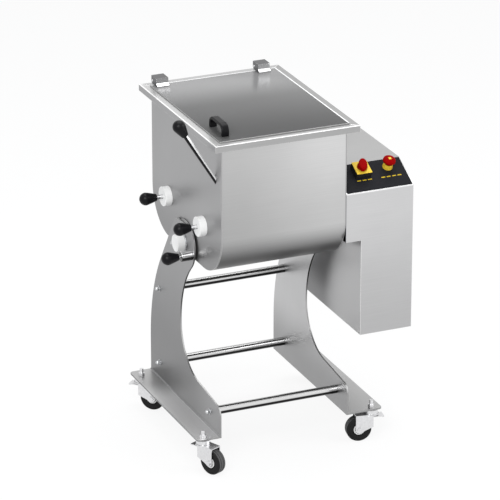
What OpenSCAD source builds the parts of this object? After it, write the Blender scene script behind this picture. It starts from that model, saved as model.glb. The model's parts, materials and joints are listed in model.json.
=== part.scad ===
// Twin-shaft tilting meat mixer on a wheeled stand, in millimetres.
// The origin is on the floor under the middle of the machine; X runs along the shafts, +Y to the rear.

/* [Tub] */
// Length of the tub over its end plates
tub_len = 410; // [360:5:520]
// Outer radius of the trough's rounded corners, about the shafts
trough_r = 137; // [125:1:150]
// Depth of the shafts below the rim
shaft_drop = 313; // [280:1:360]
// Thickness of the tub sheets
wall = 3; // [2:0.5:4]
// Width of the rim flange
rim_w = 30; // [20:1:45]
// Height of the skirt folded down from the rim
skirt_h = 20; // [12:1:30]
// Angle to which the trough's arcs run up to the ridge between the shafts
ridge_angle = 40; // [30:1:50]

/* [Lid] */
// Thickness of the lid sheet
lid_t = 4; // [3:0.5:5]
// Overlap of the lid on the rim, in front and at the sides
lid_lap = 9; // [6:1:14]
// Distance of the lid's rear edge from the hinge pin
lid_setback = 8.5; // [8:0.5:10]
// Distance of the hinge pin from the rim's rear edge
hinge_in = 24; // [22:1:26]
// Length of the lid handle
handle_len = 104; // [90:1:130]
// Height of the lid handle
handle_h = 38; // [30:1:45]
// Width of the lid handle
handle_w = 23; // [16:1:28]
// Thickness of the lid handle's bar
handle_t = 10; // [8:0.5:13]
// Height of the hinge pin above the rim
hinge_h = 15; // [14:0.5:20]
// Width of a hinge arm
hinge_w = 40; // [30:1:55]
// Reach of a hinge arm over the lid
hinge_reach = 24; // [18:1:30]
// Distance of the left hinge from the middle
left_hinge = 179; // [140:1:182]
// Distance of the right hinge from the middle
right_hinge = 162; // [140:1:182]
// Radius of the hinge pins
hinge_pin_r = 4; // [3:0.5:5]

/* [Shafts] */
// Radius of the paddle shafts
shaft_r = 20; // [17:0.5:23]
// Gap between the paddles and the trough
paddle_gap = 5; // [3:0.5:10]
// Number of paddles on each shaft
paddle_n = 5; // [3:1:7]
// Width of a paddle
paddle_w = 58; // [40:1:64]
// Thickness of a paddle
paddle_t = 8; // [5:0.5:10]
// Slant of the paddles to their shaft
paddle_slant = 40; // [25:1:55]
// Turn from one paddle to the next
paddle_step = 72; // [45:1:120]
// Radius of the shaft pins
pin_r = 7; // [5:0.5:9]
// Depth of the pin's bore in the shaft
pin_depth = 30; // [20:1:40]
// Radius of the white bearing caps
cap_r = 31; // [26:1:36]
// Thickness of the white bearing caps
cap_t = 22.5; // [15:0.5:26]

/* [Knobs] */
// Radius of a knob at its round end
knob_r = 20; // [17:0.5:23]
// Radius of a knob at its neck
neck_r = 11.5; // [10:0.5:14]
// Length of a knob
knob_len = 55; // [48:1:65]
// Bare shank between a cap and its knob
shank_len = 20; // [12:1:30]

/* [Lever] */
// Length of the lever rod
lever_len = 172; // [140:1:230]
// Radius of the lever rod
lever_r = 6; // [5:0.5:8]
// Lean of the lever away from the tub
lever_lean = 31; // [20:1:40]
// Height of the lever's foot below the rim
lever_drop = 134; // [110:1:160]
// Distance of the lever's foot from the tub's front
lever_in = 45; // [35:1:70]

/* [Stand] */
// Height of the tilt axis above the foot
stand_h = 540; // [500:1:620]
// Depth of the tilt axis below the shafts
pivot_below = 102; // [96:1:106]
// Thickness of the stand plates
plate_t = 5; // [4:0.5:6]
// Gap between a stand plate and the tub
side_gap = 5; // [4.5:0.5:8]
// Radius of the plates' round top
lobe_r = 87; // [84:1:95]
// Height of the plates' flat top above the tilt axis
lobe_top = 61; // [58:1:66]
// Radius of the corners of that flat top
lobe_corner_r = 25; // [15:1:30]
// Reach of the foot in front of the tilt axis
base_front = 284; // [260:1:310]
// Reach of the foot behind the tilt axis
base_rear = 279; // [265:1:310]
// Place of the plates' narrowest point behind the tilt axis
waist_y = 30; // [10:1:40]
// Depth of that point below the tilt axis
waist_z = 272; // [250:1:290]
// Radius of the curve from there to the foot
foot_curve_r = 152; // [140:1:160]
// Radius of the plates' rear curve
rear_curve_r = 535; // [500:5:600]
// Angle at which the rear edge leaves the round top
rear_angle = 34; // [30:1:38]
// Height of the foot at its front end
toe_h = 101; // [85:1:110]
// Radius of the foot's upper front corner
toe_r = 28; // [15:1:35]
// Width of the left foot flange
left_flange = 74; // [70:1:100]
// Width of the right foot flange
right_flange = 117; // [90:1:130]
// Radius of the flange corners
flange_corner_r = 12; // [8:1:30]
// Inner radius of the flange bend
bend_r = 5; // [3:0.5:8]
// Radius of the cross rods
rod_r = 13.5; // [10:0.5:16]
// Distance of the rods in front of and behind the tilt axis
rod_y = 203; // [190:1:215]
// Height of the lower rods above the foot
low_rod_h = 56; // [45:1:65]
// Height of the upper rod above the foot
high_rod_h = 308; // [280:1:330]
// Radius of the rod bolts
bolt_r = 5; // [4:0.5:6]

/* [Pivot] */
// Radius of the tilt stubs
trunnion_r = 20; // [16:0.5:22]
// Thickness of the disc on each tilt stub
disc_t = 4; // [3:0.5:4]
// Radius of the left disc, with the index holes
disc_r = 72; // [72:1:80]
// Radius of the right disc
small_disc_r = 34; // [28:1:36]
// Wall of the pivot bushes
bush_t = 6; // [4:0.5:7]
// Radius of the pivot bosses
boss_r = 30; // [29:1:36]
// Thickness of the pivot bosses
boss_t = 4; // [3:0.5:7]
// Thickness of the pivot caps
pivot_cap_t = 24; // [14:1:28]
// Distance of the index plunger in front of the tilt axis
index_y = 62; // [56:1:64]
// Depth of the index plunger below the tilt axis
index_z = 20; // [14:1:26]
// Length of the plunger's housing
index_len = 35; // [28:1:42]
// Radius of the plunger's housing
index_r = 16; // [12:0.5:18]
// Radius of the plunger's pin
index_pin_r = 5; // [4:0.5:6]
// Gap between the housing and the plunger's knob
index_gap = 7; // [6:0.5:10]
// Tilt of the emptying position
tilt_angle = 90; // [80:1:95]

/* [Cabinet] */
// Width of the cabinet beyond the tub
cab_w = 225; // [215:1:260]
// Width of the step that clears the stand plate
cab_step = 51; // [48:1:54]
// Depth of the cabinet's top below the rim
cab_drop = 173; // [150:1:180]
// Depth of the step's underside below the shafts
step_below = 72; // [70:1:78]
// Depth of the cabinet's floor below the shafts
cab_floor_below = 384; // [370:1:400]
// Thickness of the cabinet sheets
cab_wall = 2; // [1.5:0.5:3]
// Level run of the sloping panel
slope_run = 104; // [95:1:115]
// Fall of the sloping panel
slope_fall = 54; // [45:1:60]
// Radius of the mains cable's hole
cable_r = 5.5; // [4:0.5:7]

/* [Controls] */
// Side of the rotary switch's plate
switch_w = 50; // [44:1:56]
// Height of the rotary switch's base
switch_h = 20; // [14:1:24]
// Radius of the rotary switch's knob
switch_knob_r = 16; // [13:0.5:19]
// Radius of the emergency stop's head
stop_r = 20; // [17:0.5:22]
// Radius of the emergency stop's collar
collar_r = 16; // [14:0.5:18]
// Height of the emergency stop's collar
collar_h = 16; // [12:1:20]

/* [Drive] */
// Gear module
gear_m = 4; // [3.8:0.1:4.2]
// Teeth of the shaft gears
main_teeth = 35; // [35:1:36]
// Teeth of the drive and idler gears
idler_teeth = 17; // [17:1:18]
// Face width of the gears
gear_w = 20; // [14:1:24]
// Radius of the gearbox's output shaft
output_r = 14; // [12:0.5:16]
// Radius of the idler's axle
axle_r = 12; // [10:0.5:14]
// Radius of the gearbox
gearbox_r = 48; // [44:1:50]
// Width of the gearbox
gearbox_w = 96; // [90:2:104]
// Radius of the worm housing behind the gearbox
worm_r = 36; // [32:1:38]
// Height of the worm housing
worm_h = 126; // [116:2:140]
// Radius of the motor
motor_r = 54; // [46:1:56]
// Length of the motor
motor_len = 225; // [180:5:250]

/* [Casters] */
// Radius of the wheels
wheel_r = 40; // [37:0.5:41]
// Width of the wheels
wheel_w = 30; // [22:1:32]
// Height of a caster under the foot
caster_h = 101.5; // [101:0.5:110]
// Thickness of the tyres
tyre_t = 15; // [9:1:18]
// Trail of the wheels behind their stem
trail = 41; // [38:1:46]
// Radius of the threaded stems
stem_r = 6; // [5:0.5:7]
// Distance of the front stems from the front of the foot
front_stem_in = 17; // [15:1:45]
// Distance of the rear stems from the rear of the foot
rear_stem_in = 41; // [24:1:70]
// Distance of the left stems from the flange's edge
left_stem_in = 25; // [20:1:30]
// Distance of the right stems from the flange's edge
right_stem_in = 31; // [24:1:45]

/* [Hidden] */

// Clearances
run = 0.05;
seat = 0.1;
gap = 0.3;

// Gear pitch radii, and the distance between the shafts that they give
main_r = gear_m * main_teeth / 2;
idler_r = gear_m * idler_teeth / 2;
shaft_y = main_r + 2 * idler_r;

// Heights above the floor
foot_z = caster_h;
pivot_z = foot_z + stand_h;
shaft_z = pivot_z + pivot_below;
rim_z = shaft_z + shaft_drop;
cab_top = rim_z - cab_drop;
step_z = shaft_z - step_below;
cab_floor = shaft_z - cab_floor_below;

// Half sizes of the tub and its rim
half_len = tub_len / 2;
half_w = shaft_y + trough_r;
rim_x = half_len + rim_w;
rim_y = half_w + rim_w;

// Stand plates, inner and outer faces
stand_in = half_len + side_gap;
stand_out = stand_in + plate_t;

// Cabinet
cab_x = half_len + cab_w;
step_x = half_len + cab_step;
slope = atan(slope_fall / slope_run);
slope_len = norm([slope_run, slope_fall]);

// Places of the controls on the panel: along X from the tub, and up the slope
switch_at = [half_len + 78, slope_len * 0.66];
stop_at = [half_len + 170, slope_len * 0.7];

// Gears start clear of the cabinet's step
gear_x = step_x + 10;
drive_plate_x = gear_x + gear_w + 16;
drive_plate_t = 6;

// Index plunger
index_travel = disc_t - 0.5;

// Middle of the machine, from the lever's knob to the cabinet and from the front left wheel to the rim
lever_twist = 6;
front_heading = -66;
left_reach = half_len + cos(lever_twist) * sin(lever_lean) * (lever_len + knob_len - knob_r) + knob_r;
tyre_edge_r = 4;
front_reach = base_front - front_stem_in - trail * sin(front_heading) + tyre_edge_r
  - (wheel_r - tyre_edge_r) * sin(front_heading) + (wheel_w / 2 - tyre_edge_r) * cos(front_heading);
middle = [(cab_x - left_reach) / 2, (rim_y - front_reach) / 2, 0];
module place() translate(-middle) children();

// Helpers
function arc(c, r, from, to, n = 16) =
  [for (i = [0:n]) let (a = from + (to - from) * i / n) c + r * [cos(a), sin(a)]];

module block(low, high) translate(low) cube(high - low);

// Cylinder along X between two places
module xrod(r, x0, x1, y, z, n = 64)
  translate([x0, y, z]) rotate([0, 90, 0]) cylinder(r = r, h = x1 - x0, $fn = n);

// Outline in the YZ plane, given thickness along X
module yz_plate(x0, x1) translate([x0, 0, 0]) rotate([90, 0, 90]) linear_extrude(x1 - x0) children();

// Outline in the XZ plane, given thickness along Y
module xz_plate(y0, y1) translate([0, y1, 0]) rotate([90, 0, 0]) linear_extrude(y1 - y0) children();

// Both sides of the YZ plane
module both_sides() {
  children();
  mirror([1, 0, 0]) children();
}

// Tub
// Trough outline of a given corner radius, from the bottom up to a given height
ridge_overlap = 0.3;
module trough_outline(r, top) {
  ridge_drop = (r - ridge_overlap) * cos(ridge_angle);
  ridge_in = shaft_y - (r - ridge_overlap) * sin(ridge_angle);
  for (y = [-shaft_y, shaft_y]) translate([y, shaft_z]) circle(r, $fn = 96);
  translate([-shaft_y - r, shaft_z]) square([2 * (shaft_y + r), top - shaft_z]);
  polygon([[-shaft_y, shaft_z + 1], [-shaft_y, shaft_z - 1], [-ridge_in, shaft_z - ridge_drop],
           [0, shaft_z - ridge_drop + ridge_in * tan(ridge_angle)],
           [ridge_in, shaft_z - ridge_drop], [shaft_y, shaft_z - 1], [shaft_y, shaft_z + 1]]);
}

// Flange ring with its skirt, around the whole tub
module rim_ring() difference() {
  block([-rim_x, -rim_y, rim_z - skirt_h], [rim_x, rim_y, rim_z]);
  block([wall - rim_x, wall - rim_y, rim_z - skirt_h - 1], [rim_x - wall, rim_y - wall, rim_z - wall]);
  block([wall - half_len, wall - half_w, rim_z - skirt_h - 2], [half_len - wall, half_w - wall, rim_z + 1]);
}

// Mitred end of the rim, on the left
module rim_end() {
  reach = rim_w + wall + 20;
  translate([0, 0, rim_z - skirt_h - 2]) linear_extrude(skirt_h + 4)
    polygon([[wall - half_len, wall - half_w], [wall - half_len, half_w - wall],
             [wall - half_len - reach, half_w - wall + reach], [wall - half_len - reach, wall - half_w - reach]]);
}

module trough() color([0.74, 0.75, 0.76]) {
  yz_plate(wall - half_len, half_len - wall) difference() {
    trough_outline(trough_r, rim_z - wall / 2);
    trough_outline(trough_r - wall, rim_z + 1);
  }
  difference() {
    rim_ring();
    both_sides() rim_end();
  }
}

// End plate on the left, with its share of the rim
module end_plate() {
  yz_plate(-half_len, wall - half_len) {
    for (y = [-shaft_y, shaft_y]) translate([y, shaft_z]) circle(trough_r, $fn = 96);
    translate([-shaft_y, shaft_z - trough_r]) square([2 * shaft_y, 2 * trough_r]);
    translate([-half_w, shaft_z]) square([2 * half_w, rim_z - wall - shaft_z]);
    translate([wall - half_w, shaft_z]) square([2 * (half_w - wall), rim_z - wall / 2 - shaft_z]);
  }
  intersection() {
    rim_ring();
    rim_end();
  }
}

module left_end_plate() color([0.66, 0.67, 0.68]) difference() {
  end_plate();
  for (y = [-shaft_y, shaft_y]) xrod(pin_r + seat, -half_len - 1, wall - half_len + 1, y, shaft_z);
}

module right_end_plate() color([0.66, 0.67, 0.68]) difference() {
  mirror([1, 0, 0]) end_plate();
  for (y = [-shaft_y, shaft_y]) xrod(shaft_r + 2, half_len - wall - 1, half_len + 1, y, shaft_z);
}

// Tilt stub on the left with its disc, which ends inside the pivot cap
cap_bore = 10;
module trunnion(r) {
  xrod(r, -half_len - disc_t, -half_len, 0, pivot_z, 96);
  xrod(trunnion_r, 2 - stand_out - boss_t - cap_bore, -half_len, 0, pivot_z);
}
module trunnions() color([0.6, 0.61, 0.62]) {
  difference() {
    trunnion(disc_r);
    for (a = [0, -tilt_angle]) translate([0, 0, pivot_z]) rotate([a, 0, 0])
      xrod(index_pin_r + seat, -half_len - disc_t - 1, -half_len + 1, -index_y, -index_z, 32);
  }
  mirror([1, 0, 0]) trunnion(small_disc_r);
}

// Shafts
module bearing_caps() color([0.95, 0.95, 0.94]) for (y = [-shaft_y, shaft_y]) difference() {
  xrod(cap_r, -half_len - cap_t, -half_len, y, shaft_z, 96);
  xrod(pin_r + run, -half_len - cap_t - 1, -half_len + 1, y, shaft_z);
}

shaft_end = wall - half_len + 3;
pin_out = -half_len - cap_t - shank_len;

module shaft_pin(y) color([0.78, 0.79, 0.8])
  xrod(pin_r, pin_out - knob_len / 2 + 4, shaft_end + pin_depth - 2, y, shaft_z);

// Tapered knob along +Z, with its neck at the origin
module knob(bore_r) color([0.06, 0.06, 0.065]) difference() {
  union() {
    cylinder(r1 = neck_r, r2 = sqrt(pow(knob_r, 2) - 25), h = knob_len - knob_r - 5, $fn = 64);
    translate([0, 0, knob_len - knob_r]) sphere(knob_r, $fn = 64);
  }
  translate([0, 0, -1]) cylinder(r = bore_r, h = knob_len / 2 - 3, $fn = 48);
}

module shaft_knob(y) translate([pin_out, y, shaft_z]) rotate([0, -90, 0]) knob(pin_r + seat);

// Shaft with its slanted paddles, trimmed to the trough
module paddle_shaft(y, turn, slant) {
  paddle_r = trough_r - wall - paddle_gap;
  first = shaft_end + paddle_w / 2 + 6;
  last = half_len - wall - 6 - paddle_w / 2 - 6;
  color([0.77, 0.78, 0.79]) difference() {
    union() {
      xrod(shaft_r, shaft_end, gear_x + gear_w + 4, y, shaft_z);
      intersection() {
        xrod(paddle_r, shaft_end, half_len - wall - 6, y, shaft_z, 96);
        for (i = [0:paddle_n - 1])
          translate([first + (last - first) * i / (paddle_n - 1), y, shaft_z])
            rotate([turn + i * paddle_step, 0, 0]) rotate([0, 0, slant])
              translate([-paddle_w / 2, -paddle_t / 2, 0]) cube([paddle_w, paddle_t, paddle_r + 2]);
      }
    }
    xrod(pin_r + run, shaft_end - 1, shaft_end + pin_depth, y, shaft_z);
  }
}

seal_t = 5;
module shaft_seals() color([0.12, 0.12, 0.13]) for (y = [-shaft_y, shaft_y]) difference() {
  xrod(shaft_r + 12, half_len - wall - seal_t, half_len - wall, y, shaft_z);
  xrod(shaft_r + run, half_len - wall - seal_t - 1, half_len - wall + 1, y, shaft_z);
}

// Square flange bearings on the outside of the right end plate
bearing_side = 2 * shaft_r + 36;
bearing_t = 16;
bearing_flange_t = 8;
bearing_wall = 13;
module shaft_bearings() color([0.35, 0.38, 0.4]) for (y = [-shaft_y, shaft_y]) difference() {
  union() {
    block([half_len, y - bearing_side / 2, shaft_z - bearing_side / 2],
          [half_len + bearing_flange_t, y + bearing_side / 2, shaft_z + bearing_side / 2]);
    xrod(shaft_r + bearing_wall, half_len, half_len + bearing_t, y, shaft_z);
  }
  xrod(shaft_r + run, half_len - 1, half_len + bearing_t + 1, y, shaft_z);
}

// Gears
backlash = 0.3;
function involute(a) = tan(a) * 180 / PI - a;
// Half angle of a tooth at a radius
function tooth_half(z, r) =
  let (pitch_r = gear_m * z / 2, base_r = pitch_r * cos(20), a = r <= base_r ? 0 : acos(base_r / r))
  (90 / z) - backlash / pitch_r * 90 / PI + involute(20) - involute(a);
module gear_outline(z) {
  pitch_r = gear_m * z / 2;
  root = pitch_r - 1.25 * gear_m;
  tip = pitch_r + 0.9 * gear_m;
  radii = [root, max(root + 0.1, pitch_r * cos(20)), pitch_r, (pitch_r + tip) / 2, tip];
  polygon([for (i = [0:z - 1]) each concat(
    [for (k = [0:4]) let (a = 360 * i / z - tooth_half(z, radii[k])) radii[k] * [cos(a), sin(a)]],
    [for (k = [4:-1:0]) let (a = 360 * i / z + tooth_half(z, radii[k])) radii[k] * [cos(a), sin(a)]])]);
}

// Gear with its hub, turned so that a tooth stands at the given angle
hub_out = 3;
module solid_gear(z, y, turn, hub_r) {
  translate([0, y, shaft_z]) rotate([turn, 0, 0]) yz_plate(gear_x, gear_x + gear_w) gear_outline(z);
  xrod(hub_r, gear_x - hub_out, gear_x + gear_w + hub_out, y, shaft_z);
}
module gear(z, y, turn, bore_r, hub_r) difference() {
  solid_gear(z, y, turn, hub_r);
  xrod(bore_r, gear_x - hub_out - 1, gear_x + gear_w + hub_out + 1, y, shaft_z);
}

module rear_gear() color([0.5, 0.51, 0.53]) gear(main_teeth, shaft_y, 180, shaft_r + seat, shaft_r + 12);
module front_gear() color([0.5, 0.51, 0.53])
  gear(main_teeth, -shaft_y, 180 / main_teeth, shaft_r + seat, shaft_r + 12);
module idler_gear() color([0.55, 0.56, 0.58])
  gear(idler_teeth, -idler_r, 180 / idler_teeth, axle_r + run, axle_r + 8);
// The drive gear is one piece with the gearbox's output shaft
module drive_gear() color([0.55, 0.56, 0.58]) {
  solid_gear(idler_teeth, idler_r, 180 / idler_teeth, output_r + 6);
  xrod(output_r, gear_x, gearbox_x + gearbox_w - 26, idler_r, shaft_z);
}

module idler_axle() color([0.62, 0.63, 0.65]) {
  xrod(axle_r, gear_x - 6, gearbox_x + 8, -idler_r, shaft_z);
  xrod(axle_r + 5, gear_x - 10, gear_x - hub_out - gap, -idler_r, shaft_z, 6);
  xrod(axle_r + 5, gearbox_x, gearbox_x + 8, -idler_r, shaft_z, 6);
  xrod(axle_r + 4, gear_x + gear_w + hub_out + gap, drive_plate_x, -idler_r, shaft_z);
}

// Cabinet
cab_front = -half_w;
cab_rear = half_w;

module drive_plate() color([0.55, 0.56, 0.57]) difference() {
  yz_plate(drive_plate_x, drive_plate_x + drive_plate_t)
    polygon([[cab_front + cab_wall, step_z - 60], [cab_front + cab_wall, cab_top - slope_fall - 8],
             [cab_front + slope_run, cab_top - cab_wall], [cab_rear - gap, cab_top - cab_wall],
             [cab_rear - gap, step_z - 60]]);
  xrod(output_r + 4, drive_plate_x - 1, drive_plate_x + drive_plate_t + 1, idler_r, shaft_z);
  xrod(axle_r + seat, drive_plate_x - 1, drive_plate_x + drive_plate_t + 1, -idler_r, shaft_z);
}

gearbox_x = drive_plate_x + drive_plate_t;
motor_flange_t = 10;
worm_y = idler_r + gearbox_r - 2;
worm_x = gearbox_x + motor_r + 2;
motor_top = shaft_z - worm_h / 2 - motor_flange_t;
module gearbox() color([0.42, 0.46, 0.5]) difference() {
  union() {
    xrod(gearbox_r, gearbox_x, gearbox_x + gearbox_w, idler_r, shaft_z, 96);
    xrod(gearbox_r + 2, gearbox_x, gearbox_x + 10, idler_r, shaft_z, 96);
    translate([worm_x, worm_y, shaft_z - worm_h / 2]) cylinder(r = worm_r, h = worm_h, $fn = 64);
    translate([worm_x, worm_y, motor_top]) cylinder(r = motor_r - 4, h = motor_flange_t, $fn = 96);
  }
  xrod(output_r + run, gearbox_x - 1, gearbox_x + gearbox_w + 1, idler_r, shaft_z);
}

module motor() color([0.42, 0.46, 0.5]) translate([worm_x, worm_y, motor_top - motor_len]) {
  cylinder(r = motor_r - 5, h = motor_len, $fn = 96);
  cylinder(r = motor_r, h = motor_len * 0.22, $fn = 96);
  for (i = [0:6]) translate([0, 0, motor_len * (0.3 + 0.09 * i)]) cylinder(r = motor_r, h = 5, $fn = 96);
}

// Cabinet form, inset on every side by a wall
module cabinet_form(t) intersection() {
  xz_plate(cab_front + t, cab_rear + (t > 0 ? 1 : 0))
    polygon([[half_len - (t > 0 ? 1 : 0), step_z + t], [step_x + t, step_z + t], [step_x + t, cab_floor + t],
             [cab_x - t, cab_floor + t], [cab_x - t, cab_top - t], [half_len - (t > 0 ? 1 : 0), cab_top - t]]);
  yz_plate(half_len - 2, cab_x + 1)
    polygon([[cab_front + t, cab_floor], [cab_front + t, cab_top - slope_fall - t * tan(slope / 2)],
             [cab_front + slope_run + t * tan(slope / 2), cab_top - t],
             [cab_rear + 2, cab_top - t], [cab_rear + 2, cab_floor]]);
}

module cabinet_shell() color([0.8, 0.81, 0.82]) difference() {
  cabinet_form(0);
  cabinet_form(cab_wall);
  block([half_len - 1, -lobe_r - 28, step_z - 1], [stand_out + 7, lobe_r + 8, step_z + cab_wall + 1]);
}

module cabinet_back() color([0.78, 0.79, 0.8]) difference() {
  xz_plate(cab_rear, cab_rear + cab_wall)
    polygon([[half_len + gap, step_z], [step_x, step_z], [step_x, cab_floor], [cab_x, cab_floor],
             [cab_x, cab_top], [half_len + gap, cab_top]]);
  translate([gland_x, cab_rear - 1, gland_z]) rotate([-90, 0, 0]) cylinder(r = gland_r + seat, h = cab_wall + 2, $fn = 48);
}

gland_r = cable_r + 4.5;
gland_x = cab_x - 40;
gland_z = cab_floor + 45;
gland_out = 26;
module cable_gland() color([0.1, 0.1, 0.1]) translate([gland_x, cab_rear, gland_z]) rotate([-90, 0, 0]) difference() {
  union() {
    translate([0, 0, -8]) cylinder(r = gland_r, h = gland_out + 4, $fn = 48);
    translate([0, 0, cab_wall]) cylinder(r = gland_r + 5, h = 6, $fn = 6);
    translate([0, 0, cab_wall + 8]) cylinder(r1 = gland_r + 4, r2 = cable_r + 3, h = gland_out - cab_wall - 8, $fn = 48);
    translate([0, 0, -8]) cylinder(r = gland_r + 4, h = 8, $fn = 6);
  }
  translate([0, 0, -9]) cylinder(r = cable_r, h = gland_out + 10, $fn = 48);
}

// Panel and controls, placed up the slope with +Z along its outward normal
module on_panel(at, lift) translate([at[0], cab_front, cab_top - slope_fall])
  rotate([slope, 0, 0]) translate([0, at[1], lift]) children();

panel_t = 1.5;
module panel_plate() color([0.09, 0.1, 0.11]) on_panel([half_len + 4, 2], 0)
  cube([cab_w - 7, slope_len - 4, panel_t]);

module switch_base() color([0.05, 0.05, 0.06]) on_panel(switch_at, panel_t)
  translate([-switch_w / 2, -switch_w / 2, 0]) cube([switch_w, switch_w, switch_h]);

switch_plate_t = 2;
module switch_plate() color([0.9, 0.75, 0.12]) on_panel(switch_at, panel_t + switch_h)
  translate([-switch_w / 2, -switch_w / 2, 0]) cube([switch_w, switch_w, switch_plate_t]);

module switch_knob() color([0.75, 0.05, 0.06]) on_panel(switch_at, panel_t + switch_h + switch_plate_t + gap) {
  cylinder(r = switch_knob_r, h = 6, $fn = 64);
  intersection() {
    cylinder(r = switch_knob_r + 3, h = 20, $fn = 64);
    rotate(-35) translate([-6, -switch_knob_r - 4, 0]) cube([12, 2 * switch_knob_r + 8, 20]);
  }
}

stop_stem_r = 9;
module stop_collar() color([0.9, 0.75, 0.12]) on_panel(stop_at, panel_t) difference() {
  cylinder(r1 = collar_r, r2 = collar_r - 2, h = collar_h, $fn = 64);
  translate([0, 0, -1]) cylinder(r = stop_stem_r + 0.1, h = collar_h + 2, $fn = 48);
}

stop_travel = 4;
module stop_head() color([0.75, 0.05, 0.06]) on_panel(stop_at, panel_t) {
  translate([0, 0, stop_travel + 1]) cylinder(r = stop_stem_r, h = collar_h, $fn = 48);
  translate([0, 0, collar_h + stop_travel + gap]) {
    cylinder(r1 = stop_r - 5, r2 = stop_r, h = 7, $fn = 64);
    translate([0, 0, 7]) cylinder(r = stop_r, h = 5, $fn = 64);
    translate([0, 0, 12]) cylinder(r1 = stop_r, r2 = stop_r - 6, h = 5, $fn = 64);
  }
}

// Lever
lever_foot = [-half_len, lever_in - half_w, rim_z - lever_drop];
module along_lever(at) translate(lever_foot) rotate([-lever_twist, -lever_lean, 0]) translate([0, 0, at]) children();
module lever_rod() color([0.7, 0.71, 0.72]) difference() {
  along_lever(-20) cylinder(r = lever_r, h = lever_len + knob_len / 2 + 14, $fn = 48);
  block([-half_len, -half_w, rim_z - lever_drop - 60], [0, half_w, rim_z - lever_drop + 60]);
}
module lever_knob() along_lever(lever_len) knob(lever_r + seat);

// Lid
lid_z = rim_z + gap;
hinge_y = rim_y - hinge_in;
hinge_z = rim_z + hinge_h;
lid_rear = hinge_y - lid_setback;
module lid_sheet() color([0.22, 0.23, 0.24, 0.6])
  block([wall - half_len - lid_lap, wall - half_w - lid_lap, lid_z],
        [half_len - wall + lid_lap, lid_rear, lid_z + lid_t]);

// Bridge handle along Y, near the front left corner
handle_x = 28 - half_len;
handle_y = 29 - half_w;
handle_corner_r = 24;
function handle_arcs(r) = concat(
  arc([handle_corner_r, handle_h - handle_corner_r], r, 180, 90, 8),
  arc([handle_len - handle_corner_r, handle_h - handle_corner_r], r, 90, 0, 8));
module lid_handle() color([0.06, 0.06, 0.065])
  translate([handle_x - handle_w / 2, handle_y, lid_z + lid_t]) rotate([90, 0, 90]) linear_extrude(handle_w)
    difference() {
      polygon(concat([[0, 0]], handle_arcs(handle_corner_r), [[handle_len, 0]]));
      polygon(concat([[handle_t + 2, -1]], handle_arcs(handle_corner_r - handle_t), [[handle_len - handle_t - 2, -1]]));
    }

// Hinge arm over its lug; the outlines are in the YZ plane about the pin
arm_t = 3;
arm_front = lid_setback + hinge_reach;
arm_rear = 9;
arm_foot = lid_z + lid_t - hinge_z;
lug_w = hinge_w - 2 * arm_t - 2;
lug_foot_t = 2.5;
lug_gap = 1;
lug_rear = 16;
module at_hinges() for (x = [-left_hinge, right_hinge]) translate([x, hinge_y, hinge_z]) children();
module pin_hole(r) rotate([0, 90, 0]) cylinder(r = r, h = 2 * hinge_w, center = true, $fn = 48);
module lid_hinge_arms() color([0.7, 0.71, 0.72]) at_hinges() difference() {
  yz_plate(-hinge_w / 2, hinge_w / 2)
    polygon(concat([[-arm_front - 8, arm_foot], [-arm_front - 8, arm_foot + 3], [-arm_front, arm_foot + 10],
                    [-arm_front, hinge_h], [arm_rear, hinge_h], [arm_rear, 0]],
                   arc([0, 0], arm_rear, 0, -68, 8), [[-lid_setback, arm_foot]]));
  yz_plate(arm_t - hinge_w / 2, hinge_w / 2 - arm_t)
    polygon([[-lid_setback - lug_gap, arm_foot - 1], [-lid_setback - lug_gap, hinge_h - arm_t],
             [arm_rear + 1, hinge_h - arm_t], [arm_rear + 1, arm_foot - 1]]);
  pin_hole(hinge_pin_r + run);
}

module hinge_lugs() color([0.6, 0.61, 0.62]) at_hinges() difference() {
  yz_plate(-lug_w / 2, lug_w / 2)
    polygon(concat(arc([0, 0], arm_rear - 2, 0, 180, 12),
                   [[lug_gap - lid_setback, -hinge_h], [lug_rear, -hinge_h], [lug_rear, lug_foot_t - hinge_h],
                    [arm_rear - 2, lug_foot_t - hinge_h]]));
  pin_hole(hinge_pin_r);
}

module hinge_pins() color([0.8, 0.81, 0.82]) at_hinges()
  rotate([0, 90, 0]) cylinder(r = hinge_pin_r, h = hinge_w + 2, center = true, $fn = 48);

// Stand
// Outline of a side plate about the tilt axis, with tangent curves
lobe_curve_r = (pow(waist_y, 2) + pow(waist_z, 2) - pow(lobe_r, 2)) / (2 * (waist_y + lobe_r));
lobe_turn = atan(waist_z / (lobe_curve_r - waist_y));
lobe_corner = [sqrt(pow(lobe_r - lobe_corner_r, 2) - pow(lobe_top - lobe_corner_r, 2)), lobe_top - lobe_corner_r];
lobe_corner_angle = atan(lobe_corner[1] / lobe_corner[0]);
rear_turn = min(rear_angle, lobe_corner_angle - 0.5);
rear_curve_z = (lobe_r - rear_curve_r - cos(rear_turn) * (base_rear - rear_curve_r)) / sin(rear_turn);
module stand_outline() translate([0, pivot_z]) polygon(concat(
  arc([0, 0], lobe_r, rear_turn, lobe_corner_angle, 2),
  arc(lobe_corner, lobe_corner_r, lobe_corner_angle, 90, 8),
  arc([-lobe_corner[0], lobe_corner[1]], lobe_corner_r, 90, 180 - lobe_corner_angle, 8),
  arc([0, 0], lobe_r, 180 - lobe_corner_angle, 180 + lobe_turn, 16),
  arc([waist_y - lobe_curve_r, -waist_z], lobe_curve_r, lobe_turn, 0, 16),
  arc([waist_y - foot_curve_r, -waist_z], foot_curve_r, -6, -88, 16),
  arc([toe_r - base_front, toe_h - toe_r - stand_h], toe_r, 88, 180, 8),
  [[-base_front, -stand_h], [base_rear, -stand_h]],
  arc([base_rear - rear_curve_r, rear_curve_z], rear_curve_r, 0, rear_turn, 16)));

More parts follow.
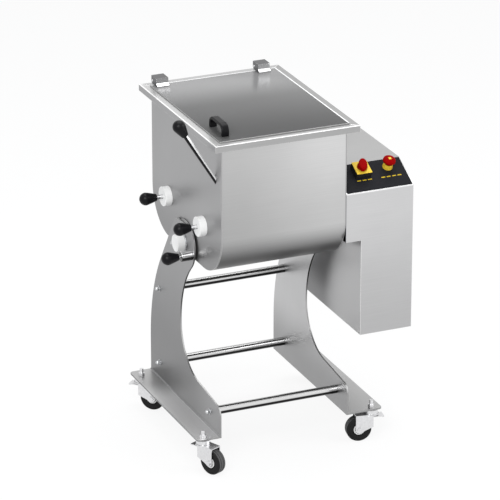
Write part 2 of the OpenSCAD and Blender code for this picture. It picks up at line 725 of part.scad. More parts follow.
// Side plate on the left with its bent flange and holes
module stand_plate(flange_w, stem_edge) difference() {
  union() {
    yz_plate(-stand_out, -stand_in) stand_outline();
    translate([0, 0, foot_z]) linear_extrude(plate_t) polygon(concat(
      [[-stand_in, -base_front]],
      arc([flange_corner_r - stand_out - flange_w, flange_corner_r - base_front], flange_corner_r, 270, 180, 8),
      arc([flange_corner_r - stand_out - flange_w, base_rear - flange_corner_r], flange_corner_r, 180, 90, 8),
      [[-stand_in, base_rear]]));
    difference() {
      block([-stand_out - bend_r, -base_front, foot_z], [-stand_in, base_rear, foot_z + plate_t + bend_r]);
      translate([-stand_out - bend_r, -base_front - 1, foot_z + plate_t + bend_r]) rotate([-90, 0, 0])
        cylinder(r = bend_r, h = base_front + base_rear + 2, $fn = 48);
    }
  }
  xrod(trunnion_r + run + bush_t, -stand_out - 1, -stand_in + 1, 0, pivot_z);
  for (r = rods) xrod(bolt_r + seat, -stand_out - 1, -stand_in + 1, r[0], r[1], 32);
  for (y = stem_ys) translate([-stand_out - flange_w + stem_edge, y, foot_z - 1])
    cylinder(r = stem_r + seat, h = plate_t + 2, $fn = 48);
}

rods = [[rod_y, foot_z + high_rod_h], [rod_y, foot_z + low_rod_h], [-rod_y, foot_z + low_rod_h]];
stem_ys = [front_stem_in - base_front, base_rear - rear_stem_in];
left_stem_x = -stand_out - left_flange + left_stem_in;
right_stem_x = stand_out + right_flange - right_stem_in;
stop_bolt = [95, pivot_z - 39];

module left_stand_plate() color([0.62, 0.63, 0.64]) difference() {
  stand_plate(left_flange, left_stem_in);
  xrod(index_pin_r + 1, -stand_out - 1, -stand_in + 1, -index_y, pivot_z - index_z, 48);
  xrod(4 + seat, -stand_out - 1, -stand_in + 1, stop_bolt[0], stop_bolt[1], 32);
}

module right_stand_plate() color([0.62, 0.63, 0.64]) mirror([1, 0, 0])
  stand_plate(right_flange, right_stem_in);

module cross_rods() color([0.85, 0.86, 0.87]) for (r = rods) difference() {
  xrod(rod_r, -stand_in, stand_in, r[0], r[1]);
  both_sides() xrod(bolt_r + seat, -stand_in - 1, 26 - stand_in, r[0], r[1], 32);
}

// Cap nuts that hold the rods, and the small domed bolt behind the pivot
nut_r = 8;
module cap_nut(out_x, y, z) {
  xrod(bolt_r, out_x, 24 - stand_in, y, z, 32);
  xrod(nut_r + 1.5, out_x - 1.5, out_x, y, z, 48);
  xrod(nut_r, out_x - nut_r, out_x, y, z, 6);
  translate([out_x - nut_r + 0.5, y, z]) sphere(nut_r - 1.2, $fn = 48);
}
module dome_bolt(r, head_r, out_x, in_x, y, z) {
  xrod(r, out_x, in_x, y, z, 32);
  intersection() {
    translate([out_x + head_r * 0.6, y, z]) sphere(head_r * 1.2, $fn = 48);
    xrod(head_r, out_x - head_r, out_x, y, z, 48);
  }
}
module stand_bolts() color([0.75, 0.76, 0.77]) {
  both_sides() for (r = rods) cap_nut(-stand_out, r[0], r[1]);
  dome_bolt(4, 7, -stand_out, -stand_in, stop_bolt[0], stop_bolt[1]);
}

module pivot_bushes() color([0.93, 0.93, 0.9]) both_sides() difference() {
  xrod(trunnion_r + run + bush_t - seat, -stand_out - boss_t, -stand_in, 0, pivot_z);
  xrod(trunnion_r + run, -stand_out - boss_t - 1, 1 - stand_in, 0, pivot_z);
}

module pivot_bosses() color([0.66, 0.67, 0.68]) both_sides() difference() {
  xrod(boss_r, -stand_out - boss_t, -stand_out, 0, pivot_z, 96);
  xrod(trunnion_r + run + bush_t, -stand_out - boss_t - 1, 1 - stand_out, 0, pivot_z);
}

module pivot_caps() color([0.95, 0.95, 0.94]) both_sides() difference() {
  xrod(trunnion_r + bush_t + 1, -stand_out - boss_t - pivot_cap_t, -stand_out - boss_t, 0, pivot_z, 96);
  xrod(trunnion_r + 1, -stand_out - boss_t - cap_bore, 1 - stand_out - boss_t, 0, pivot_z);
}

// Index plunger
index_end = -stand_out - index_len;
index_knob_x = index_end - index_gap;
module index_housing() color([0.72, 0.73, 0.74]) difference() {
  xrod(index_r, index_end, -stand_out, -index_y, pivot_z - index_z);
  xrod(index_pin_r + run, index_end - 1, 1 - stand_out, -index_y, pivot_z - index_z, 48);
}
module index_pin() color([0.78, 0.79, 0.8])
  xrod(index_pin_r, index_knob_x - 20, -half_len - disc_t - 0.4, -index_y, pivot_z - index_z, 48);
module index_knob() translate([index_knob_x, -index_y, pivot_z - index_z]) rotate([0, -90, 0])
  knob(index_pin_r + seat);

// Casters, built at the origin on the floor with the trail along +X
race_h = 13;
fork_t = 3;
fork_top = caster_h - race_h - gap;
fork_in = wheel_w / 2 + 1.5;
caster_axle_r = 4;
module caster_stem() {
  translate([0, 0, caster_h - race_h]) cylinder(r = 22, h = race_h, $fn = 64);
  translate([0, 0, caster_h]) cylinder(r = stem_r, h = plate_t + 24, $fn = 48);
  translate([0, 0, caster_h + plate_t]) cylinder(r = 10.5, h = 10, $fn = 6);
  translate([0, 0, fork_top - fork_t - 2]) cylinder(r = stem_r, h = race_h, $fn = 48);
  translate([0, 0, fork_top - fork_t - gap - 2]) cylinder(r = stem_r + 3, h = 2, $fn = 48);
}
// Fork with flared leading edges, closed by a plate under the race
lead_x = trail - wheel_r - 3;
crease_x = trail - 18;
flare = 4.5;
axle_out = fork_in + fork_t + 5;
module fork_side() intersection() {
  linear_extrude(fork_top) polygon([[lead_x, fork_in + flare], [crease_x, fork_in], [trail + 12, fork_in],
    [trail + 12, fork_in + fork_t], [crease_x, fork_in + fork_t], [lead_x, fork_in + flare + fork_t]]);
  xz_plate(0, 2 * fork_in) polygon(concat([[lead_x, fork_top - fork_t + 0.5], [lead_x, wheel_r + 9]],
    arc([trail, wheel_r], 12, 240, 360, 12), [[trail + 12, fork_top - fork_t + 0.5]]));
}
module fork() color([0.8, 0.81, 0.82]) difference() {
  union() {
    translate([0, 0, fork_top - fork_t]) cylinder(r = 24, h = fork_t, $fn = 64);
    translate([0, -fork_in - fork_t, fork_top - fork_t]) cube([trail + 12, 2 * (fork_in + fork_t), fork_t]);
    fork_side();
    mirror([0, 1, 0]) fork_side();
    translate([trail, axle_out, wheel_r]) rotate([90, 0, 0]) cylinder(r = caster_axle_r, h = 2 * axle_out, $fn = 48);
    for (side = [-1, 1]) translate([trail, side * (fork_in + fork_t + 2.5) + 2.5, wheel_r]) rotate([90, 0, 0])
      cylinder(r = 8, h = 5, $fn = 6);
    translate([brake_pin_x, fork_in + flare, brake_pin_z]) rotate([90, 0, 0])
      cylinder(r = 2.5, h = 2 * (fork_in + flare), $fn = 32);
  }
  translate([0, 0, fork_top - fork_t - 1]) cylinder(r = stem_r + run, h = fork_t + 2, $fn = 48);
}
hub_web_w = 16;
module wheel() translate([trail, 0, wheel_r]) rotate([90, 0, 0]) {
  color([0.08, 0.08, 0.085]) rotate_extrude($fn = 96) {
    translate([wheel_r - tyre_t, -wheel_w / 2]) square([tyre_t - tyre_edge_r, wheel_w]);
    translate([wheel_r - tyre_t, tyre_edge_r - wheel_w / 2]) square([tyre_t, wheel_w - 2 * tyre_edge_r]);
    for (side = [-1, 1]) translate([wheel_r - tyre_edge_r, side * (wheel_w / 2 - tyre_edge_r)])
      circle(tyre_edge_r, $fn = 24);
  }
  color([0.9, 0.9, 0.89]) rotate_extrude($fn = 96) {
    translate([caster_axle_r + run, -wheel_w / 2 - 0.8]) square([6, wheel_w + 1.6]);
    translate([caster_axle_r + run + 5, -hub_web_w / 2]) square([wheel_r - tyre_t - 6 - caster_axle_r, hub_web_w]);
    translate([wheel_r - tyre_t - 3, 1 - wheel_w / 2]) square([3 - run, wheel_w - 2]);
  }
}
// Pedal on the leading side, with a shoe that swings against the tyre
brake_pin_x = trail - wheel_r + 4;
brake_pin_z = wheel_r + 36;
pedal_end = -34;
module brake() color([0.75, 0.76, 0.77]) difference() {
  union() {
    translate([brake_pin_x, fork_in - gap, brake_pin_z]) rotate([90, 0, 0])
      cylinder(r = 5, h = 2 * (fork_in - gap), $fn = 48);
    translate([pedal_end, 1 - fork_in, brake_pin_z + 1]) cube([brake_pin_x - pedal_end, 2 * fork_in - 2, 2.5]);
    translate([pedal_end - 4, 1 - fork_in, brake_pin_z - 1]) cube([6, 2 * fork_in - 2, 4.5]);
    translate([brake_pin_x, 0, brake_pin_z]) xz_plate(-11, 11)
      polygon([[-6, 0], [3, -2], [1, -13], [-4, -13], [-7, -5]]);
  }
  translate([brake_pin_x, fork_in + 1, brake_pin_z]) rotate([90, 0, 0])
    cylinder(r = 2.5 + run, h = 2 * fork_in + 2, $fn = 32);
}

// Place and heading of each caster: front left, rear left, front right, rear right
caster_at = [[left_stem_x, stem_ys[0], front_heading], [left_stem_x, stem_ys[1], -45],
             [right_stem_x, stem_ys[0], 170], [right_stem_x, stem_ys[1], -55]];
module at_caster(i) translate([caster_at[i][0], caster_at[i][1], 0]) rotate(caster_at[i][2]) children();
module caster_stems() color([0.76, 0.77, 0.78]) for (i = [0:3]) at_caster(i) caster_stem();

place() left_stand_plate();
place() right_stand_plate();
place() cross_rods();
place() stand_bolts();
place() pivot_bushes();
place() pivot_bosses();
place() pivot_caps();
place() caster_stems();
place() index_housing();
place() index_pin();
place() index_knob();
place() at_caster(0) fork();  // front_left_fork
place() at_caster(0) wheel();  // front_left_wheel
place() at_caster(0) brake();  // front_left_brake
place() at_caster(1) fork();  // rear_left_fork
place() at_caster(1) wheel();  // rear_left_wheel
place() at_caster(1) brake();  // rear_left_brake
place() at_caster(2) fork();  // front_right_fork
place() at_caster(2) wheel();  // front_right_wheel
place() at_caster(2) brake();  // front_right_brake
place() at_caster(3) fork();  // rear_right_fork
place() at_caster(3) wheel();  // rear_right_wheel
place() at_caster(3) brake();  // rear_right_brake
place() trough();
place() left_end_plate();
place() right_end_plate();
place() trunnions();
place() lever_rod();
place() lever_knob();
place() bearing_caps();
place() shaft_seals();
place() shaft_bearings();
place() shaft_pin(shaft_y);  // rear_shaft_pin
place() shaft_knob(shaft_y);  // rear_shaft_knob
place() shaft_pin(-shaft_y);  // front_shaft_pin
place() shaft_knob(-shaft_y);  // front_shaft_knob
place() paddle_shaft(shaft_y, 20, paddle_slant);  // rear_paddle_shaft
place() paddle_shaft(-shaft_y, -56, -paddle_slant);  // front_paddle_shaft
place() rear_gear();
place() front_gear();
place() drive_gear();
place() idler_gear();
place() idler_axle();
place() drive_plate();
place() gearbox();
place() motor();
place() cabinet_shell();
place() cabinet_back();
place() cable_gland();
place() panel_plate();
place() switch_base();
place() switch_plate();
place() switch_knob();
place() stop_collar();
place() stop_head();
place() lid_sheet();
place() lid_handle();
place() lid_hinge_arms();
place() hinge_lugs();
place() hinge_pins();
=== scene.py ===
"""Looks of a tilting twin-shaft meat mixer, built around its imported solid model.

Lengths are in metres, in the model's own frame: the floor is at Z 0 under the middle
of the machine, X runs along the paddle shafts towards the drive cabinet, and the
operator stands at -Y.
"""

from __future__ import annotations

import json
import logging
import math
from dataclasses import dataclass, field, replace
from enum import Enum
from typing import Callable

import bpy
from mathutils import Matrix, Vector

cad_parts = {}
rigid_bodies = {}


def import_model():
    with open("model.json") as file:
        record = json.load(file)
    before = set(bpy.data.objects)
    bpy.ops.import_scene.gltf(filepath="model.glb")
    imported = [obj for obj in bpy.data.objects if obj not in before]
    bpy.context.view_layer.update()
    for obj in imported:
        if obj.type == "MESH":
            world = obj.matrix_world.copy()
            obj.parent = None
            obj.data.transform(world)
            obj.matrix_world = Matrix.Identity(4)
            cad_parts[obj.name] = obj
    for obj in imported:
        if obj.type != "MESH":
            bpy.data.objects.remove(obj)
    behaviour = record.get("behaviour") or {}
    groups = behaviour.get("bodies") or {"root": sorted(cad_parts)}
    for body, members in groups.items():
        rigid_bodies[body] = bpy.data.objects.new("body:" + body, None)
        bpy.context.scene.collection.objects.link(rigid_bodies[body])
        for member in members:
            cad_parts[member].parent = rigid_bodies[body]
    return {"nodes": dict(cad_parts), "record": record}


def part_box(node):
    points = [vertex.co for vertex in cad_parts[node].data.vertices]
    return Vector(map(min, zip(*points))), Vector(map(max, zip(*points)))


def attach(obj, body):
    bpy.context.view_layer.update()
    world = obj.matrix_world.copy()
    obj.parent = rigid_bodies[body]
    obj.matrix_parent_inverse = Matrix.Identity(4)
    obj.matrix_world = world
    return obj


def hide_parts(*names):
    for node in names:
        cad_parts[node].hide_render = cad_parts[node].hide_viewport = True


LOG = logging.getLogger("mixer")

Point = tuple[float, float, float]
Colour = tuple[float, float, float]
Outline = list[tuple[float, float]]
Piece = bpy.types.Object
Face = bpy.types.MeshPolygon
Socket = bpy.types.NodeSocket

MM = 0.001
METAL = 1.0
PLASTIC = 0.0

# Angles, in degrees, from which an edge is rounded and from which it is shaded sharp.
ROUNDED_FROM = 35.0
CREASED_FROM = 32.0
# The least part of a face's normal along an axis for the face to count as looking that way.
LEVEL = 0.95
TOWARDS = 0.9
# The most of it for the face to count as standing across that axis.
ACROSS = 0.3
# The least part of a direction along an axis that counts as pointing either way.
ASLANT = 0.01
# The upward part of a normal at which the painted shade on an upper side starts, and where it is
# complete.
UPPER_SIDE = (0.5, 0.95)
# The noise values between which a colour swings.
SWING = (0.3, 0.7)


class Axis(Enum):
    """An axis of the machine, as its place in a vector."""

    X = 0
    Y = 1
    Z = 2


class Grain(Enum):
    """How the fine pattern of a finish runs: the stretch of its noise along X, Y and Z."""

    BRUSHED_X = (6.0, 420.0, 420.0)
    BRUSHED_Y = (420.0, 6.0, 420.0)
    BRUSHED_Z = (420.0, 420.0, 6.0)
    FINE = (260.0, 260.0, 260.0)
    MOULDED = (900.0, 900.0, 900.0)
    CAST = (160.0, 160.0, 160.0)


@dataclass(frozen=True)
class Tree:
    """The node tree of a material or of the world, with the few joints that the looks need.

    Args:
        tree: the node tree itself.
    """

    tree: bpy.types.NodeTree

    def add(self, kind: str) -> bpy.types.Node:
        """Adds a shader node of a kind."""
        return self.tree.nodes.new("ShaderNode" + kind)

    def link(self, start: Socket, end: Socket) -> None:
        """Leads one socket to another."""
        self.tree.links.new(start, end)

    def shader(self) -> bpy.types.Node:
        """The material's own shader."""
        return self.tree.nodes["Principled BSDF"]

    def times(self, one: Socket, other: Socket) -> Socket:
        """Multiplies two colours.

        Args:
            one: the first colour.
            other: the second colour.

        Returns:
            The socket of their product.
        """
        both = self.add("Mix")
        both.data_type = "RGBA"
        both.blend_type = "MULTIPLY"
        both.inputs["Factor"].default_value = 1.0
        self.link(one, both.inputs["A"])
        self.link(other, both.inputs["B"])
        return both.outputs["Result"]

    def part(self, vector: Socket, axis: Axis) -> Socket:
        """Takes one part of a vector.

        Args:
            vector: the vector.
            axis: the part's axis.

        Returns:
            The socket of that part.
        """
        split = self.add("SeparateXYZ")
        self.link(vector, split.inputs[0])
        return split.outputs[axis.value]

    def ramp(self, value: Socket, ends: tuple[float, float], levels: tuple[float, float]) -> Socket:
        """Makes a smooth step from one level to another.

        Args:
            value: what the step follows.
            ends: the values between which it rises or falls.
            levels: the levels at those two values.

        Returns:
            The socket of the level.
        """
        step = self.add("MapRange")
        step.interpolation_type = "SMOOTHSTEP"
        step.inputs["From Min"].default_value, step.inputs["From Max"].default_value = ends
        step.inputs["To Min"].default_value, step.inputs["To Max"].default_value = levels
        self.link(value, step.inputs["Value"])
        return step.outputs["Result"]

    def noise(self, vector: Socket, scale: float, detail: float) -> Socket:
        """Adds a noise.

        Args:
            vector: where the noise is read.
            scale: its scale.
            detail: its detail.

        Returns:
            The socket of its value.
        """
        noise = self.add("TexNoise")
        noise.inputs["Scale"].default_value = scale
        noise.inputs["Detail"].default_value = detail
        self.link(vector, noise.inputs["Vector"])
        return noise.outputs["Fac"]

    def tint(self, noise: Socket, swing: float, colour: Colour) -> Socket:
        """Makes a colour that swings around a mean with a noise.

        Args:
            noise: the noise that drives the swing.
            swing: the share by which the colour swings.
            colour: the mean colour.

        Returns:
            The socket of the colour.
        """
        ramp = self.add("ValToRGB")
        dark, pale = ramp.color_ramp.elements
        dark.position, pale.position = SWING
        dark.color = (*[c * (1 - swing) for c in colour], 1.0)
        pale.color = (*[min(1.0, c * (1 + swing)) for c in colour], 1.0)
        self.link(noise, ramp.inputs["Fac"])
        return ramp.outputs["Color"]

    def blend(self, share: Socket, one: Socket, other: Socket) -> Socket:
        """Mixes two shaders.

        Args:
            share: the share of the second one.
            one: the first shader.
            other: the second shader.

        Returns:
            The socket of the mix.
        """
        mix = self.add("MixShader")
        for start, end in zip((share, one, other), mix.inputs):
            self.link(start, end)
        return mix.outputs[0]

    def maths(self, operation: str, one: Socket, other: Socket | float) -> Socket:
        """Works out a number from two others.

        Args:
            operation: the name of the operation.
            one: the first number.
            other: the second number, as a socket or as a plain value.

        Returns:
            The socket of the result.
        """
        node = self.add("Math")
        node.operation = operation
        self.link(one, node.inputs[0])
        if isinstance(other, float):
            node.inputs[1].default_value = other
        else:
            self.link(other, node.inputs[1])
        return node.outputs[0]

    def seen(self) -> Socket:
        """Tells the rays that look at the background from those that light the machine.

        Returns:
            The socket of 1 for rays from the camera, mirrors and glass, and 0 for the rest.
        """
        ray = self.add("LightPath")
        best = ray.outputs["Is Camera Ray"]
        for kind in ("Is Glossy Ray", "Is Transmission Ray"):
            best = self.maths("MAXIMUM", best, ray.outputs[kind])
        return best


@dataclass(frozen=True)
class Fade:
    """A slow change of a finish's colour along one axis: a painted gradient of light and shade.

    Args:
        axis: the axis.
        start: where the colour is full.
        end: where the change is complete.
        share: what is left of the colour there.
    """

    axis: Axis
    start: float
    end: float
    share: float

    def steps(self) -> tuple[tuple[float, float], tuple[float, float]]:
        """Puts the change in rising order.

        Returns:
            The two places, and the share left at each.
        """
        if self.start < self.end:
            return (self.start, self.end), (1.0, self.share)
        return (self.end, self.start), (self.share, 1.0)


@dataclass(frozen=True)
class Finish:
    """One finish of the machine, as a procedural material.

    Args:
        title: the material's name, after the word look.
        colour: the base colour, linear.
        metallic: METAL, PLASTIC, or a share between them.
        roughness: the mean roughness.
        grain: how the fine pattern runs.
        spread: how far the roughness swings with the grain.
        tone: how far the colour swings with the grain, as a share.
        bump: the strength of the fine relief.
        cloud: how far the colour swings over a hand's breadth, as a share.
        alpha: how much the sheet covers what is behind it.
        under: painted shade: how much darker the finish is where it faces down, as a share.
        turn: the upward part of the normal at which that painted shade is complete, and where it
            starts.
        over: painted shade: how much darker the finish is where it faces up, as a share.
        fades: slow changes of its colour along an axis, as painted light and shade.
        specular: the level of the plain reflection.
    """

    title: str
    colour: Colour
    metallic: float = PLASTIC
    roughness: float = 0.4
    grain: Grain = Grain.MOULDED
    spread: float = 0.05
    tone: float = 0.03
    bump: float = 0.02
    cloud: float = 0.03
    alpha: float = 1.0
    under: float = 0.0
    turn: tuple[float, float] = (-0.92, 0.12)
    over: float = 0.0
    fades: tuple[Fade, ...] = ()
    specular: float = 0.5

    def material(self) -> bpy.types.Material:
        """The finish's material, made the first time it is asked for."""
        return bpy.data.materials.get("look_" + self.title) or self._make()

    def _make(self) -> bpy.types.Material:
        """Builds the material's node tree.

        Returns:
            The new material.
        """
        material = bpy.data.materials.new("look_" + self.title)
        material.use_nodes = True
        material.diffuse_color = (*self.colour, 1.0)
        tree = Tree(material.node_tree)
        shader = tree.shader()
        shader.inputs["Metallic"].default_value = self.metallic
        shader.inputs["Specular IOR Level"].default_value = self.specular
        shader.inputs["Alpha"].default_value = self.alpha
        place = tree.add("TexCoord")
        stretch = tree.add("Mapping")
        stretch.inputs["Scale"].default_value = self.grain.value
        tree.link(place.outputs["Object"], stretch.inputs["Vector"])
        fine = tree.noise(stretch.outputs["Vector"], scale=1.0, detail=4.0)
        broad = tree.noise(place.outputs["Object"], scale=7.0, detail=2.0)
        shade = tree.tint(fine, self.tone, self.colour)
        colour = tree.times(shade, tree.tint(broad, self.cloud, (1.0, 1.0, 1.0)))
        # Painted shade: darker where the object-space normal faces down (under) and where it faces
        # up (over).
        for share, ends, levels in (
            (self.under, self.turn, (1 - self.under, 1.0)),
            (self.over, UPPER_SIDE, (1.0, 1 - self.over)),
        ):
            if share:
                upwards = tree.part(place.outputs["Normal"], Axis.Z)
                colour = tree.times(colour, tree.ramp(upwards, ends, levels))
        # Painted light and shade: each fade brightens or darkens the colour along one axis.
        for fade in self.fades:
            along = tree.part(place.outputs["Object"], fade.axis)
            colour = tree.times(colour, tree.ramp(along, *fade.steps()))
        tree.link(colour, shader.inputs["Base Color"])
        self._gloss(tree, fine)
        self._relief(tree, fine)
        return material

    def _gloss(self, tree: Tree, fine: Socket) -> None:
        """Lets the roughness swing with the grain.

        Args:
            tree: the material's tree.
            fine: the grain's noise.
        """
        gloss = tree.add("MapRange")
        gloss.inputs["To Min"].default_value = max(0.02, self.roughness - self.spread)
        gloss.inputs["To Max"].default_value = self.roughness + self.spread
        tree.link(fine, gloss.inputs["Value"])
        tree.link(gloss.outputs["Result"], tree.shader().inputs["Roughness"])

    def _relief(self, tree: Tree, fine: Socket) -> None:
        """Lets the surface rise and fall with the grain.

        Args:
            tree: the material's tree.
            fine: the grain's noise.
        """
        relief = tree.add("Bump")
        relief.inputs["Strength"].default_value = self.bump
        relief.inputs["Distance"].default_value = MM
        tree.link(fine, relief.inputs["Height"])
        tree.link(relief.outputs["Normal"], tree.shader().inputs["Normal"])


# The numbers after a grain are the spread, the tone, the bump and the cloud, where they
# differ from the usual ones.
# Painted light and shade: the sheet finishes below are lit and shaded copies of one stainless
# steel. The trough's front is painted lighter to the right and higher up, and much darker where its
# curved bottom faces down.
SHEET_FRONT = Finish(
    "sheet_front", (0.70, 0.70, 0.70), METAL, 0.34, Grain.BRUSHED_X,
    under=0.88, turn=(-0.8, 0.1),
    fades=(Fade(Axis.X, 0.14, -0.25, 0.77), Fade(Axis.Z, 1.05, 0.72, 0.8)),
)
# Painted shade: the end plates are a darker copy of the steel, darker still towards the bottom and
# where they face down.
SHEET_END = Finish(
    "sheet_end", (0.37, 0.37, 0.375), METAL, 0.4, Grain.BRUSHED_Z,
    under=0.3, fades=(Fade(Axis.Z, 0.80, 0.62, 0.75),),
)
SHEET_RIM = Finish("sheet_rim", (0.51, 0.51, 0.51), METAL, 0.36, Grain.FINE)
# Painted light and shade: the left stand plate's and the trunnions' copy of the steel is darker,
# darker still towards the bottom and where it faces down, and lighter towards the front.
SHEET_STAND = Finish(
    "sheet_stand", (0.32, 0.32, 0.325), METAL, 0.38, Grain.BRUSHED_Z,
    under=0.3, fades=(Fade(Axis.Z, 0.62, 0.25, 0.7), Fade(Axis.Y, -0.02, -0.22, 1.38)),
)
# Painted shade: the right stand plate's copy of the steel darkens towards the bottom and where it
# faces down.
SHEET_INNER = Finish(
    "sheet_inner", (0.53, 0.53, 0.535), METAL, 0.38, Grain.BRUSHED_Z,
    under=0.3, fades=(Fade(Axis.Z, 0.32, 0.14, 0.62),),
)
SHEET_FOOT = Finish("sheet_foot", (0.52, 0.52, 0.52), METAL, 0.38, Grain.BRUSHED_Y)
# Painted light: the left plate's foot is a near-white lit copy of the steel, darker towards the
# rear.
LIT_FOOT = replace(
    SHEET_FOOT, title="bright_foot", colour=(0.92, 0.92, 0.92),
    fades=(Fade(Axis.Y, 0.06, 0.2, 0.5),),
)
# Painted shade: the rim's skirt is a darker copy of the steel; the lid's side faces take it too.
SKIRT = Finish("skirt", (0.42, 0.42, 0.42), METAL, 0.36, Grain.BRUSHED_X)
# Painted shade: the stand plates' cut edges are near black where they face down and full where they
# face up.
CUT_EDGE = Finish(
    "cut_edge", (0.5, 0.5, 0.5), METAL, 0.36, Grain.FINE,
    under=0.93, turn=(-0.35, 0.25),
)
# Painted shade: the cabinet's steel darkens towards the bottom and where it faces down.
SHEET_CABINET = Finish(
    "sheet_cabinet", (0.63, 0.63, 0.635), METAL, 0.36, Grain.BRUSHED_X,
    under=0.5, fades=(Fade(Axis.Z, 0.83, 0.36, 0.77),),
)
# Painted highlight: a bright band along the top of the cabinet's front face, at the panel's fold.
CABINET_FRONT = replace(
    SHEET_CABINET, title="cabinet_front",
    fades=(*SHEET_CABINET.fades, Fade(Axis.Z, 0.8245, 0.8275, 1.5)),
)
# Painted shade: the cabinet's upward faces are a darker copy of its steel.
SHEET_TOP = Finish("sheet_top", (0.42, 0.42, 0.42), METAL, 0.4, Grain.BRUSHED_X)
# Painted highlight: the sheets' rounded folds are painted near white.
FOLD_HIGHLIGHT = Finish(
    "bright_fold", (0.86, 0.86, 0.86), METAL, 0.28, Grain.FINE, 0.04, 0.01, 0.01, under=0.5,
)
# Painted highlight on the lever rod's lit side.
LEVER_HIGHLIGHT = replace(FOLD_HIGHLIGHT, title="lever_bright", metallic=0.3)
# Painted shade: the polished and turned steels below darken where they face down.
POLISHED = Finish(
    "polished_steel", (0.78, 0.78, 0.79), METAL, 0.14, Grain.FINE, 0.03, 0.01, 0.01,
    under=0.85,
)
# Painted shade: the rods are painted near black on their lower half.
ROD = Finish(
    "rod_steel", (0.76, 0.76, 0.76), METAL, 0.14, Grain.FINE, 0.03, 0.01, 0.01,
    under=0.98, turn=(-0.05, 0.2),
)
# Painted shade: the cross rods are also darker on top.
CROSS_ROD = replace(ROD, title="cross_rod", colour=(0.72, 0.72, 0.72), roughness=0.2, over=0.4)
TURNED_STEEL = Finish(
    "turned_steel", (0.56, 0.57, 0.58), METAL, 0.28, Grain.FINE, 0.06, 0.03, 0.03, under=0.6,
)
GEAR_STEEL = Finish("gear_steel", (0.36, 0.37, 0.39), METAL, 0.36, Grain.FINE, 0.08, 0.05, 0.04)
# Painted shade: near-black steel for the shaded side of the lever rod.
SHADED_STEEL = Finish("shaded_steel", (0.02, 0.02, 0.021), METAL, 0.3, Grain.FINE, 0.06, 0.04, 0.03)
# Painted dark reflection: a dark copy of the polished steel for the hinge arms' tops and left
# sides.
PAINTED_DARK_REFLECTION = Finish("dark_steel", (0.12, 0.12, 0.125), METAL, 0.3, Grain.FINE, 0.06, 0.04, 0.03)
# Painted shade: the zinc and the white plastic below darken where they face down.
ZINC = Finish("zinc", (0.76, 0.76, 0.77), METAL, 0.34, Grain.CAST, 0.1, 0.06, 0.04, 0.06, under=0.5)
WHITE_PLASTIC = Finish(
    "white_plastic", (0.84, 0.84, 0.83), PLASTIC, 0.42, Grain.MOULDED, 0.05, 0.01, 0.03,
    under=0.25,
)
BLACK_GLOSS = Finish(
    "black_gloss", (0.004, 0.004, 0.005), PLASTIC, 0.34, Grain.MOULDED, 0.04, 0.05, 0.01,
    specular=0.14,
)
BLACK_MATT = Finish(
    "black_matt", (0.012, 0.012, 0.013), PLASTIC, 0.5, Grain.MOULDED, 0.08, 0.1, 0.05,
    specular=0.2,
)
RUBBER = Finish(
    "rubber", (0.006, 0.006, 0.006), PLASTIC, 0.6, Grain.CAST, 0.08, 0.12, 0.08, specular=0.2,
)
TREAD = Finish("tread", (0.06, 0.06, 0.061), PLASTIC, 0.66, Grain.CAST, 0.08, 0.14, 0.1)
HUB_WHITE = Finish("hub_white", (0.78, 0.78, 0.77), PLASTIC, 0.45, Grain.MOULDED, 0.05, 0.02, 0.03)
CAST_GREY = Finish("cast_grey", (0.2, 0.22, 0.25), PLASTIC, 0.5, Grain.CAST, 0.1, 0.08, 0.12)
PANEL = Finish(
    "panel_black", (0.012, 0.0125, 0.015), PLASTIC, 0.55, Grain.FINE, 0.08, 0.2, 0.04, 0.12,
    specular=0.06,
)
YELLOW = Finish(
    "yellow_plastic", (0.72, 0.5, 0.04), PLASTIC, 0.42, Grain.MOULDED, 0.05, 0.02, 0.01,
    specular=0.2,
)
RED = Finish(
    "red_plastic", (0.24, 0.0005, 0.0005), PLASTIC, 0.6, Grain.MOULDED, 0.04, 0.05, 0.01,
    specular=0.03,
)
MARK = Finish(
    "mark_yellow", (0.6, 0.42, 0.02), PLASTIC, 0.5, Grain.MOULDED, 0.05, 0.02, 0.0,
    specular=0.1,
)
# Painted reflection: the smoked lid is lighter towards the rear and darker towards the front.
SMOKED = Finish(
    "smoked_sheet", (0.25, 0.25, 0.25), PLASTIC, 0.22, Grain.FINE, 0.02, 0.02, 0.0,
    alpha=0.94, specular=0.2,
    fades=(Fade(Axis.Y, 0.25, 0.03, 0.42), Fade(Axis.Y, 0.05, -0.25, 0.66)),
)
# Painted highlight: a white line inside the lid sheet's right and rear edges.
EDGE_HIGHLIGHT = Finish("bright_edge", (0.86, 0.86, 0.86), PLASTIC, 0.3, Grain.FINE, 0.04, 0.02, 0.01)


def corners(node: str) -> tuple[Vector, Vector]:
    """Lowest and highest corner of a solid at rest."""
    low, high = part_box(node)
    return Vector(low), Vector(high)


def deselect() -> None:
    """Leaves edit mode and deselects every object."""
    if bpy.context.mode != "OBJECT":
        bpy.ops.object.mode_set(mode="OBJECT")
    bpy.ops.object.select_all(action="DESELECT")


def pick(piece: Piece) -> None:
    """Makes one object the only selected one, and the active one.

    Args:
        piece: the object.
    """
    deselect()
    piece.select_set(True)
    bpy.context.view_layer.objects.active = piece


def settle(piece: Piece, place: Matrix) -> None:
    """Moves a piece to its place and writes the place into its mesh.

    Args:
        piece: the piece.
        place: where it goes.
    """
    piece.matrix_world = place
    pick(piece)
    bpy.ops.object.transform_apply(location=True, rotation=True, scale=True)


def smooth(piece: Piece) -> None:
    """Shades a piece smooth but for its sharp edges, with its flat faces flat.

    Args:
        piece: the piece.
    """
    pick(piece)
    bpy.ops.object.shade_smooth_by_angle(angle=math.radians(CREASED_FROM))
    bpy.ops.object.modifier_add(type="WEIGHTED_NORMAL")
    level = piece.modifiers[-1]
    level.weight, level.keep_sharp = 100, True
    bpy.ops.object.modifier_apply(modifier=level.name)


